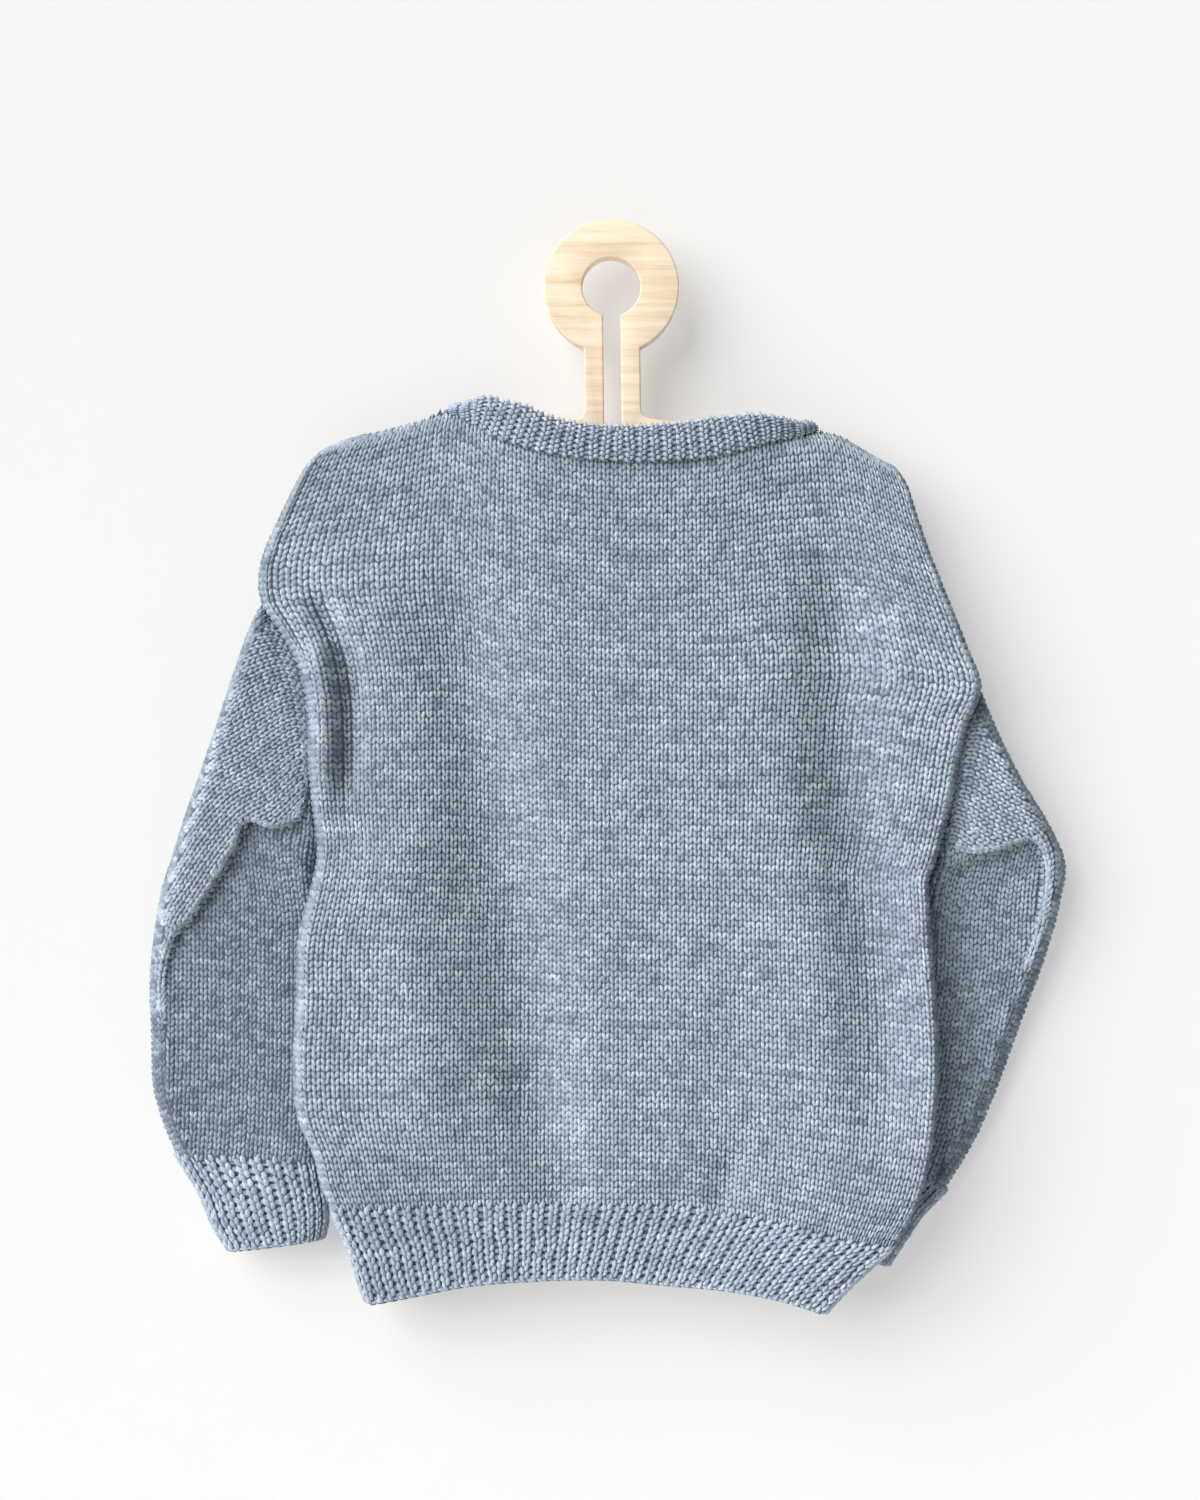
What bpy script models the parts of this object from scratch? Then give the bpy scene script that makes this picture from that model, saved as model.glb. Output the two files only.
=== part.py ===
# Wool sweater on a wooden board hanger, seen from its back.
# Every size is in millimetres until the last step, which divides by 1000.
# x runs to the right in the photo, y runs away from the viewer, z runs up.
# The origin is the top of the hanger's hole, where the nail carries it.

import math

import bmesh
import bpy
import numpy as np

MM = 0.001

# Cloth
PANEL_WALL = 2.2
RIB_WALL = 2.4
RIB_RELIEF = 0.9
SEAM_GAP = 0.3
HALF_GAP = SEAM_GAP / 2
HEM_RIBS = 44
CUFF_RIBS = 26
NECK_RIBS = 68
NECKBAND_THICKNESS = 5.0
NECKBAND_SET_BACK = 0.8
NECK_GAP = 0.5
NECKLINE_STEPS = 40

# How the body is spread: even stitches in the middle, fanned at the sides
CENTRE_X = -3.0
EVEN_HALF_WIDTH = 150.0

# Side of the body from the shoulder tip down to the top of the hem rib
# columns: x, z
LEFT_SIDE = (
    (-142.5, -95.0),
    (-151.0, -103.0),
    (-159.0, -116.5),
    (-166.5, -132.0),
    (-172.5, -145.0),
    (-176.0, -159.5),
    (-174.5, -172.0),
    (-166.5, -184.5),
    (-157.0, -201.0),
    (-152.0, -219.5),
    (-150.0, -253.0),
    (-148.5, -275.5),
    (-146.0, -294.0),
    (-147.0, -304.5),
    (-150.0, -318.0),
    (-155.0, -337.5),
    (-156.0, -370.5),
    (-157.5, -403.5),
    (-155.0, -427.5),
    (-148.0, -444.0),
    (-143.5, -461.0),
    (-138.5, -473.0),
)
LEFT_ARMHOLE = (6, 12)

RIGHT_SIDE = (
    (140.5, -104.0),
    (145.5, -111.5),
    (152.5, -132.0),
    (160.0, -152.5),
    (168.0, -172.5),
    (176.5, -194.0),
    (183.5, -215.5),
    (176.5, -232.5),
    (171.5, -254.0),
    (167.0, -277.0),
    (160.5, -300.5),
    (157.0, -309.0),
    (157.0, -323.0),
    (158.0, -345.0),
    (160.0, -372.5),
    (161.0, -399.5),
    (159.5, -425.0),
    (156.5, -447.0),
    (150.5, -469.0),
    (138.5, -490.5),
)
RIGHT_ARMHOLE = (6, 10)

# Upper edge of the back: shoulder, neckline, shoulder
# columns: x, z, how far the edge stands open at the neck from 0 to 1
BACK_TOP = (
    (-142.5, -95.0, 0.0),
    (-134.5, -91.0, 0.0),
    (-116.0, -86.5, 0.0),
    (-95.0, -81.0, 0.0),
    (-78.0, -77.5, 0.0),
    (-72.5, -79.2, 0.4),
    (-66.0, -82.5, 0.7),
    (-59.0, -87.8, 0.85),
    (-44.5, -93.3, 0.95),
    (-27.0, -97.8, 1.0),
    (-6.0, -100.3, 1.0),
    (32.5, -100.3, 1.0),
    (54.0, -97.8, 0.95),
    (75.0, -91.5, 0.85),
    (86.0, -89.0, 0.6),
    (92.0, -88.0, 0.3),
    (96.0, -87.5, 0.0),
    (112.0, -88.5, 0.0),
    (129.5, -98.0, 0.0),
    (140.5, -104.0, 0.0),
)

# Upper edge of the front: its neckline is cut lower
FRONT_TOP = (
    (-142.5, -95.0, 0.0),
    (-134.5, -91.0, 0.0),
    (-116.0, -86.5, 0.0),
    (-95.0, -81.0, 0.0),
    (-81.0, -78.6, 0.0),
    (-79.0, -82.5, 0.85),
    (-74.0, -94.0, 0.95),
    (-60.0, -114.0, 1.0),
    (-36.0, -130.5, 1.0),
    (-4.0, -137.5, 1.0),
    (32.0, -133.5, 1.0),
    (62.0, -119.5, 1.0),
    (83.0, -103.0, 0.95),
    (94.0, -91.5, 0.85),
    (98.0, -87.9, 0.0),
    (112.0, -88.5, 0.0),
    (129.5, -98.0, 0.0),
    (140.5, -104.0, 0.0),
)

# Line where the body ends and the hem rib starts
# columns: x, z
HEM_LINE = (
    (-138.5, -473.0),
    (-92.0, -471.5),
    (-46.0, -470.5),
    (-6.0, -470.5),
    (44.0, -472.0),
    (64.0, -475.5),
    (94.0, -481.5),
    (119.0, -487.5),
    (138.5, -490.5),
)

# Lower edge of the hem rib
HEM_FOOT = (
    (-121.5, -520.0),
    (-117.5, -519.5),
    (-95.5, -515.5),
    (-73.5, -511.5),
    (-44.5, -509.0),
    (-7.5, -508.0),
    (28.0, -510.5),
    (62.0, -513.0),
    (86.0, -517.5),
    (96.0, -520.5),
    (104.5, -523.5),
)
FRONT_HEM_DROP = 3.0
FRONT_HEM_DROP_X = -99.0
FRONT_HEM_DROP_WIDTH = 30.0

# Sides of the hem rib, top to foot
HEM_LEFT = ((-138.5, -473.0), (-135.5, -481.0), (-128.5, -497.0), (-125.0, -510.0), (-121.5, -520.0))
HEM_RIGHT = ((138.5, -490.5), (130.0, -497.0), (118.0, -507.5), (109.5, -517.5), (104.5, -523.5))

# How far the two panels stand from the middle, by height
# columns: z, near, far, rounding at the sides
DEPTHS = (
    (-70.0, 9.2, 9.2, 9.0),
    (-110.0, 9.8, 9.2, 9.0),
    (-150.0, 12.0, 9.4, 12.0),
    (-210.0, 15.0, 10.0, 15.0),
    (-300.0, 18.5, 10.5, 18.0),
    (-400.0, 20.5, 10.5, 22.0),
    (-440.0, 20.5, 10.0, 19.0),
    (-465.0, 17.5, 9.2, 14.0),
    (-485.0, 14.2, 8.5, 10.0),
    (-530.0, 13.5, 8.0, 9.0),
)
SHOULDER_ROUNDING = 8.0
NECK_FULLNESS = 5.8
NECK_FULL_AT = (6.0, -98.0)
NECK_FULL_SIZE = (75.0, 34.0)

# The body's sides lie over the sleeves below the underarm
# columns: z, how far forward the left side lies, and the right side
SIDE_LIFT = (
    (-90.0, 0.0, 0.0),
    (-270.0, 0.0, 0.0),
    (-294.0, 3.0, 0.0),
    (-302.0, 4.5, 2.0),
    (-314.0, 6.5, 5.0),
    (-345.0, 7.5, 8.5),
    (-450.0, 6.5, 10.0),
    (-530.0, 2.0, 9.0),
)
LEFT_LIFT_REACH = 60.0
RIGHT_LIFT_REACH = 105.0

# Folds of the back as soft valleys and ridges
# columns: half width, depth toward the wall, path of x and z
BACK_FOLDS = (
    (22.0, 8.0, ((-90.0, -140.0), (-77.0, -190.0), (-68.0, -240.0), (-60.0, -290.0), (-47.0, -340.0),
                 (-42.0, -400.0), (-33.0, -450.0))),
    (15.0, 4.5, ((-46.0, -395.0), (-38.0, -420.0), (-30.0, -450.0), (-26.0, -476.0))),
    (24.0, -5.5, ((-108.0, -270.0), (-103.0, -340.0), (-100.0, -400.0), (-94.0, -458.0))),
    (20.0, 11.0, ((98.0, -130.0), (111.0, -170.0), (113.0, -220.0), (115.0, -270.0), (124.0, -320.0),
                  (130.0, -360.0), (132.0, -410.0), (132.0, -455.0))),
    (9.0, -8.5, ((-150.0, -187.0), (-144.5, -205.0), (-143.0, -226.0), (-142.5, -246.0), (-141.5, -272.0))),
    (5.5, 5.5, ((-152.0, -162.0), (-141.5, -183.0), (-134.5, -198.0), (-131.0, -212.0), (-130.5, -240.0),
                (-132.5, -272.0))),
    (7.0, 2.4, ((58.0, -440.0), (55.0, -458.0), (50.0, -474.0))),
)

# Folds of the hidden front, of the same kind
FRONT_FOLDS = (
    (18.0, -2.0, ((-70.0, -190.0), (-84.0, -270.0), (-80.0, -380.0))),
    (16.0, -1.8, ((70.0, -180.0), (88.0, -260.0), (84.0, -350.0))),
    (14.0, -1.5, ((10.0, -400.0), (4.0, -440.0), (0.0, -474.0))),
)

# Sleeves, one row for each section from the armhole to the cuff
# columns: outer x, z; edge of the fold x, z; inner x, z; step at the fold; middle y; half depth
LEFT_SLEEVE = (
    (-174.5, -172.0, -150.0, -262.0, -146.0, -294.0, 0.0, 0.0, 9.0),
    (-183.0, -188.5, -155.0, -285.5, -147.0, -298.0, 4.0, 1.5, 9.0),
    (-195.0, -226.0, -168.5, -285.0, -148.0, -304.0, 7.0, 3.5, 9.0),
    (-205.5, -256.0, -182.0, -282.5, -148.0, -311.0, 8.0, 5.0, 9.0),
    (-212.0, -273.5, -187.0, -294.5, -147.0, -321.0, 8.0, 6.5, 8.5),
    (-219.0, -295.0, -196.5, -310.5, -145.0, -336.0, 7.5, 7.5, 8.0),
    (-226.0, -317.0, -209.0, -329.0, -145.0, -353.0, 6.5, 8.5, 8.0),
    (-230.5, -343.5, -219.0, -342.0, -145.0, -371.0, 4.5, 9.0, 8.0),
    (-232.0, -367.0, -224.0, -366.5, -145.0, -391.0, 2.0, 9.0, 8.0),
    (-231.0, -390.5, -220.5, -393.0, -145.0, -411.0, 0.8, 8.5, 8.0),
    (-230.0, -415.5, -219.5, -417.0, -145.5, -426.0, 0.0, 8.0, 8.0),
    (-223.5, -436.5, -214.0, -437.0, -146.0, -441.0, 0.0, 7.0, 8.0),
    (-216.5, -451.0, -207.5, -451.2, -147.0, -453.0, 0.0, 6.0, 7.0),
)
RIGHT_SLEEVE = (
    (183.5, -215.5, 164.5, -287.0, 160.5, -300.5, 0.0, 0.0, 8.0),
    (193.0, -238.5, 174.0, -300.0, 160.8, -303.0, 4.0, 2.5, 9.0),
    (205.5, -261.5, 191.0, -296.0, 158.0, -308.5, 7.0, 5.0, 9.0),
    (219.0, -283.0, 209.5, -291.5, 155.5, -316.0, 8.0, 7.5, 8.5),
    (227.0, -300.5, 214.5, -301.5, 153.0, -327.0, 7.0, 9.0, 8.0),
    (225.0, -322.5, 214.5, -321.5, 151.0, -343.0, 5.0, 10.0, 7.5),
    (218.5, -347.0, 208.5, -347.5, 150.0, -363.0, 2.0, 10.5, 7.0),
    (206.5, -381.0, 197.0, -382.5, 145.0, -390.5, 0.0, 12.3, 6.8),
    (195.5, -411.5, 187.0, -411.7, 140.5, -413.0, 0.0, 12.8, 6.6),
    (183.5, -440.5, 175.5, -439.5, 134.0, -432.0, 0.0, 13.0, 6.6),
    (166.5, -469.0, 159.5, -465.5, 124.5, -445.0, 0.0, 12.9, 6.4),
)
ARMHOLE_OPEN = 0.62
SLEEVE_ROUNDING = 10.0

# Cuffs, one row for each section
# columns: outer x, z; inner x, z; middle y; half depth
LEFT_CUFF = (
    (-216.5, -451.4, -147.0, -453.4, 6.0, 7.0),
    (-206.5, -467.5, -144.0, -469.5, 5.5, 7.5),
    (-199.5, -484.0, -143.5, -482.0, 5.0, 7.5),
    (-191.5, -497.0, -145.5, -491.0, 5.0, 7.0),
)
RIGHT_CUFF = (
    (166.1, -469.4, 124.1, -445.4, 12.3, 5.8),
    (156.0, -480.0, 114.5, -456.5, 12.0, 5.8),
    (147.0, -493.0, 107.0, -472.0, 11.6, 5.7),
    (138.5, -506.0, 98.5, -489.5, 11.4, 5.7),
)

# Neckband heights along the back neckline, left to right
# columns: x, height
NECK_BACK = (
    (-72.5, 6.0),
    (-66.0, 12.5),
    (-58.0, 16.0),
    (-49.5, 17.0),
    (-39.5, 15.2),
    (-29.0, 14.4),
    (-6.0, 14.2),
    (32.5, 15.2),
    (54.0, 16.2),
    (72.0, 12.4),
    (84.0, 8.0),
    (92.0, 5.0),
)
# Neckband heights along the front neckline, right to left
NECK_FRONT = (
    (93.0, 7.0),
    (84.0, 11.0),
    (64.0, 13.0),
    (32.0, 13.0),
    (-4.0, 13.0),
    (-36.0, 13.0),
    (-60.0, 13.0),
    (-74.0, 11.0),
    (-78.5, 8.0),
)
# Where the band turns over the shoulders
# columns: x, y, z, height
NECK_RIGHT_TURN = (98.5, 0.0, -84.4, 4.6)
NECK_LEFT_TURN = (-80.5, 0.0, -74.2, 5.0)

# Hanger board
BOARD_HALF = 5.0
LEAN = math.radians(-0.7)
HANGER_X = -0.5
RING_RADIUS = 33.75
HOLE_RADIUS = 14.6
STEM_HALF = 14.0
SLOT_HALF = 4.35
SLOT_END = -104.0
FOOT_FILLET = 5.0
STEM_FOOT_Z = -75.4
TIP_RADIUS = 8.0
# columns: x, z along the upper and lower edge of the arms
RIGHT_ARM_TOP = ((19.0, -80.6), (39.0, -83.2), (65.0, -89.0), (80.0, -94.5), (96.0, -95.0), (112.0, -93.5),
                 (122.0, -98.3))
RIGHT_TIP = (126.0, -111.5)
RIGHT_ARM_FOOT = ((120.0, -119.0), (60.0, -115.0), (0.0, -112.0))
LEFT_ARM_FOOT = ((-60.0, -110.5), (-125.0, -113.5))
LEFT_TIP = (-131.0, -106.0)
LEFT_ARM_TOP = ((-127.0, -95.8), (-116.0, -91.0), (-95.0, -87.4), (-82.0, -88.5), (-66.0, -86.5), (-50.0, -82.2),
                (-20.0, -80.2))

# Mesh steps
BACK_COLUMNS = (-1.0, -0.992, -0.976, -0.95, -0.915, -0.88, -0.845, -0.81, -0.76, -0.68, -0.58, -0.5, -0.46,
                -0.4, -0.3, -0.15, 0.0, 0.15, 0.3, 0.42, 0.52, 0.59, 0.65, 0.74, 0.83, 0.91, 0.96, 0.985, 1.0)
BACK_ROWS = (0.0, 0.003, 0.009, 0.022, 0.05, 0.09, 0.14, 0.185, 0.2174, 0.255, 0.2972, 0.343, 0.39, 0.4355,
             0.475, 0.5162, 0.539, 0.566, 0.6, 0.65, 0.71, 0.77, 0.83, 0.88, 0.925, 0.965, 1.0)
FRONT_COLUMNS = (-1.0, -0.985, -0.95, -0.89, -0.8, -0.66, -0.53, -0.505, -0.46, -0.37, -0.22, 0.0, 0.22, 0.42,
                 0.55, 0.63, 0.67, 0.8, 0.89, 0.95, 0.985, 1.0)
FRONT_ROWS = (0.0, 0.003, 0.009, 0.022, 0.06, 0.12, 0.17, 0.2174, 0.255, 0.2972, 0.35, 0.4, 0.455, 0.5162,
              0.539, 0.57, 0.62, 0.7, 0.8, 0.88, 0.94, 1.0)
HEM_ROWS = (0.0, 0.5, 1.0)
SLEEVE_STEPS = 22
SLEEVE_NEAR = (0.0, 0.03, 0.09, 0.18, 0.29, 0.37, 0.43, 0.5, 0.62, 0.76, 0.89, 0.97, 1.0)
SLEEVE_FAR = (0.94, 0.82, 0.66, 0.5, 0.34, 0.18, 0.06)
FOLD_AT = 0.4
CUFF_STEPS = 3
SMALL = 0.004


def through(keys, values, at):
    """Smooth curve through the rows of a table, read at the given keys."""
    keys = np.asarray(keys, float)
    values = np.asarray(values, float)
    at = np.clip(at, keys[0], keys[-1])
    slopes = np.gradient(values, keys, axis=0)
    i = np.clip(np.searchsorted(keys, at, side="right") - 1, 0, len(keys) - 2)
    step = keys[i + 1] - keys[i]
    u = (at - keys[i]) / step
    if values.ndim == 2:
        step = step[..., None]
        u = u[..., None]
    rise = u * u * (3 - 2 * u)
    lead = u * (1 - u) ** 2 * step
    tail = -u * u * (1 - u) * step
    return values[i] * (1 - rise) + values[i + 1] * rise + slopes[i] * lead + slopes[i + 1] * tail


def lengths(rows):
    """Share of a path's length at each of its rows, measured in x and z."""
    points = np.asarray(rows, float)[:, :2]
    steps = np.hypot(*np.diff(points, axis=0).T)
    total = np.concatenate(([0.0], np.cumsum(steps)))
    return total / total[-1]


def table(rows, at):
    """Columns after the first, read smoothly at values of the first."""
    rows = np.asarray(rows, float)
    return through(rows[:, 0], rows[:, 1:], at)


def quarter(distance, radius, opened):
    """Rise of a rounded edge from its opened share to 1 within the radius."""
    rest = 1 - np.clip(distance / radius, 0, 1)
    return np.sqrt(np.clip(1 - rest ** 2 * (1 - opened ** 2), 1e-9, 1))


def folds(rows, x, z):
    """Depth that the listed folds add at each point."""
    total = np.zeros_like(x)
    for width, depth, path in rows:
        best = np.full_like(x, 1e9)
        share = np.zeros_like(x)
        knots = lengths(path)
        for (ax, az), (bx, bz), k0, k1 in zip(path[:-1], path[1:], knots[:-1], knots[1:]):
            along = ((x - ax) * (bx - ax) + (z - az) * (bz - az)) / ((bx - ax) ** 2 + (bz - az) ** 2)
            along = np.clip(along, 0, 1)
            away = np.hypot(x - ax - along * (bx - ax), z - az - along * (bz - az))
            closer = away < best
            best = np.where(closer, away, best)
            share = np.where(closer, k0 + along * (k1 - k0), share)
        ends = np.clip(np.minimum(share, 1 - share) / 0.18, 0, 1)
        total += depth * np.exp(-(best / width) ** 2) * (0.15 + 0.85 * ends * ends * (3 - 2 * ends))
    return total


def armhole_share(knots, armhole, t):
    """Openness of the side edge along the armhole, zero at both ends."""
    start = knots[armhole[0]]
    end = knots[armhole[1]]
    f = np.clip((t - start) / (end - start), 0, 1)
    return ARMHOLE_OPEN * np.sin(math.pi * f) ** 0.7


def depth_at(x, z, near):
    """Distance of a panel from the middle before folds, and the side rounding."""
    row = table(DEPTHS[::-1], z)
    full = np.exp(-((x - NECK_FULL_AT[0]) / NECK_FULL_SIZE[0]) ** 4)
    full = full * np.exp(-((z - NECK_FULL_AT[1]) / NECK_FULL_SIZE[1]) ** 2)
    return row[..., 0 if near else 1] + NECK_FULLNESS * full, row[..., 2]


def middle_at(z, to_left, to_right):
    """Middle surface of the body: its sides come forward over the sleeves."""
    lift = table(SIDE_LIFT[::-1], z)
    left = np.clip(1 - to_left / LEFT_LIFT_REACH, 0, 1)
    right = np.clip(1 - to_right / RIGHT_LIFT_REACH, 0, 1)
    smooth_left = left * left * (3 - 2 * left)
    smooth_right = right * right * (3 - 2 * right)
    return -lift[..., 0] * smooth_left - lift[..., 1] * smooth_right


def body(s, t, near):
    """Outer face of the back or front panel and the middle surface behind it."""
    left_knots = lengths(LEFT_SIDE)
    right_knots = lengths(RIGHT_SIDE)
    left = through(left_knots, LEFT_SIDE, t)
    right = through(right_knots, RIGHT_SIDE, t)
    size = np.abs(s)
    reach = np.where(s < 0, CENTRE_X - left[..., 0], right[..., 0] - CENTRE_X)
    x = CENTRE_X + np.sign(s) * (size * EVEN_HALF_WIDTH + size ** 3 * (reach - EVEN_HALF_WIDTH))
    top_reach = np.where(s < 0, CENTRE_X - LEFT_SIDE[0][0], RIGHT_SIDE[0][0] - CENTRE_X)
    top_x = CENTRE_X + np.sign(s) * (size * EVEN_HALF_WIDTH + size ** 3 * (top_reach - EVEN_HALF_WIDTH))
    foot_reach = np.where(s < 0, CENTRE_X - LEFT_SIDE[-1][0], RIGHT_SIDE[-1][0] - CENTRE_X)
    foot_x = CENTRE_X + np.sign(s) * (size * EVEN_HALF_WIDTH + size ** 3 * (foot_reach - EVEN_HALF_WIDTH))
    across = (x - left[..., 0]) / (right[..., 0] - left[..., 0])
    level = left[..., 1] * (1 - across) + right[..., 1] * across
    top = table(BACK_TOP if near else FRONT_TOP, top_x)
    top_across = (top_x - LEFT_SIDE[0][0]) / (RIGHT_SIDE[0][0] - LEFT_SIDE[0][0])
    top_line = LEFT_SIDE[0][1] * (1 - top_across) + RIGHT_SIDE[0][1] * top_across
    foot_across = (foot_x - LEFT_SIDE[-1][0]) / (RIGHT_SIDE[-1][0] - LEFT_SIDE[-1][0])
    foot_line = LEFT_SIDE[-1][1] * (1 - foot_across) + RIGHT_SIDE[-1][1] * foot_across
    z = level + (1 - t) ** 3 * (top[..., 0] - top_line)
    z = z + t ** 4 * (table(HEM_LINE, foot_x)[..., 0] - foot_line)
    to_left = x - left[..., 0]
    to_right = right[..., 0] - x
    opened = np.where(s < 0, armhole_share(left_knots, LEFT_ARMHOLE, t),
                      armhole_share(right_knots, RIGHT_ARMHOLE, t))
    depth, rounding = depth_at(x, z, near)
    side = quarter(np.minimum(to_left, to_right), rounding, opened)
    shoulder = quarter(top[..., 0] - z, SHOULDER_ROUNDING, top[..., 1])
    middle = middle_at(z, to_left, to_right)
    rise = side * shoulder
    if near:
        y = middle - HALF_GAP - depth * rise + folds(BACK_FOLDS, x, z) * rise
    else:
        y = middle + HALF_GAP + depth * rise + folds(FRONT_FOLDS, x, z) * rise
    return np.stack([x, y, z], axis=-1), middle


def panel_edge(t, near):
    """The panel's own points along its top or its foot."""
    s = np.array(BACK_COLUMNS if near else FRONT_COLUMNS)
    return body(s, np.full_like(s, t), near)[0]


def hem(s, t, near):
    """Outer face of the back or front half of the hem rib, before its ribs."""
    left = through(lengths(HEM_LEFT), HEM_LEFT, t)
    right = through(lengths(HEM_RIGHT), HEM_RIGHT, t)
    share = (s + 1) / 2
    x = left[..., 0] * (1 - share) + right[..., 0] * share
    top_x = HEM_LEFT[0][0] * (1 - share) + HEM_RIGHT[0][0] * share
    foot_x = HEM_LEFT[-1][0] * (1 - share) + HEM_RIGHT[-1][0] * share
    seam = panel_edge(1.0, near)
    top_line = np.interp(top_x, seam[:, 0], seam[:, 2]) - SEAM_GAP
    foot_line = table(HEM_FOOT, foot_x)[..., 0]
    if not near:
        foot_line = foot_line - FRONT_HEM_DROP * np.exp(
            -((foot_x - FRONT_HEM_DROP_X) / FRONT_HEM_DROP_WIDTH) ** 2)
    z = top_line * (1 - t) + foot_line * t
    depth, rounding = depth_at(x, z, near)
    to_left = x - left[..., 0]
    to_right = right[..., 0] - x
    rise = quarter(np.minimum(to_left, to_right), rounding, 0.0 * x)
    middle = middle_at(z, to_left, to_right)
    sign = -1 if near else 1
    fold = folds(BACK_FOLDS if near else FRONT_FOLDS, x, z)
    y = middle + sign * (HALF_GAP + depth * rise) + fold * rise
    return np.stack([x, y, z], axis=-1), middle


def normals(surface, s, t):
    """Unit normals of a surface, read a little inside its edges."""
    s = np.clip(s, -1 + SMALL, 1 - SMALL)
    t = np.clip(t, SMALL, 1 - SMALL)
    step = SMALL / 4
    along = surface(s + step, t)[0] - surface(s - step, t)[0]
    down = surface(s, t + step)[0] - surface(s, t - step)[0]
    n = np.cross(along, down)
    return n / np.linalg.norm(n, axis=-1, keepdims=True)


def shell_faces(rows, columns, ring):
    """Quads between two equal grids of points, closed along every open edge."""
    faces = []
    offset = rows * columns
    wraps = columns if ring else columns - 1
    for r in range(rows - 1):
        for c in range(wraps):
            d = (c + 1) % columns
            quad = (r * columns + c, r * columns + d, (r + 1) * columns + d, (r + 1) * columns + c)
            faces.append(quad)
            faces.append(tuple(offset + i for i in reversed(quad)))
    for c in range(wraps):
        d = (c + 1) % columns
        last = (rows - 1) * columns
        faces.append((d, c, offset + c, offset + d))
        faces.append((last + c, last + d, offset + last + d, offset + last + c))
    if not ring:
        for r in range(rows - 1):
            a = r * columns
            b = a + columns
            faces.append((a, b, offset + b, offset + a))
            faces.append((b + columns - 1, a + columns - 1, offset + a + columns - 1, offset + b + columns - 1))
    return faces


def material(name, colour, roughness):
    """Plain material for one piece."""
    made = bpy.data.materials.new(name)
    made.use_nodes = True
    shader = made.node_tree.nodes["Principled BSDF"]
    shader.inputs["Base Color"].default_value = colour
    shader.inputs["Roughness"].default_value = roughness
    shader.inputs["Metallic"].default_value = 0.0
    return made


def add_piece(name, points, faces, colour, roughness):
    """Make one closed object from points in millimetres."""
    mesh = bpy.data.meshes.new(name)
    mesh.from_pydata([tuple(p) for p in np.asarray(points) * MM], [], faces)
    work = bmesh.new()
    work.from_mesh(mesh)
    bmesh.ops.recalc_face_normals(work, faces=work.faces)
    work.to_mesh(mesh)
    work.free()
    mesh.shade_smooth()
    mesh.set_sharp_from_angle(angle=math.radians(50))
    mesh.materials.append(material(name + "_material", colour, roughness))
    piece = bpy.data.objects.new(name, mesh)
    bpy.context.scene.collection.objects.link(piece)
    return piece


def panel(name, surface, near, columns, rows, wall, relief, fixed, colour):
    """Sheet of cloth: an outer face, its relief, and a plain inner face."""
    s, t = np.meshgrid(np.asarray(columns), np.asarray(rows))
    outer, middle = surface(s, t)
    n = normals(surface, s, t)
    if (n[..., 1].sum() > 0) == near:
        n = -n
    for row in fixed:
        n[row, :, 2] = 0
        n[row] /= np.linalg.norm(n[row], axis=-1, keepdims=True)
    inner = outer - n * wall
    limit = middle - HALF_GAP if near else middle + HALF_GAP
    inner[..., 1] = np.minimum(inner[..., 1], limit) if near else np.maximum(inner[..., 1], limit)
    raised = outer + n * relief
    raised[..., 1] = np.minimum(raised[..., 1], limit) if near else np.maximum(raised[..., 1], limit)
    points = np.concatenate([raised.reshape(-1, 3), inner.reshape(-1, 3)])
    return add_piece(name, points, shell_faces(len(rows), len(columns), False), colour, 0.9)


def armhole_points(side, armhole, share, sign, near):
    """Points on the panel's own armhole edge, from its top to the underarm."""
    knots = lengths(side)
    t = knots[armhole[0]] + share * (knots[armhole[1]] - knots[armhole[0]])
    rows = np.array(BACK_ROWS if near else FRONT_ROWS)
    edge = body(np.full_like(rows, float(sign)), rows, near)[0]
    return np.stack([np.interp(t, rows, edge[:, k]) for k in range(3)], axis=-1)


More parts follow.
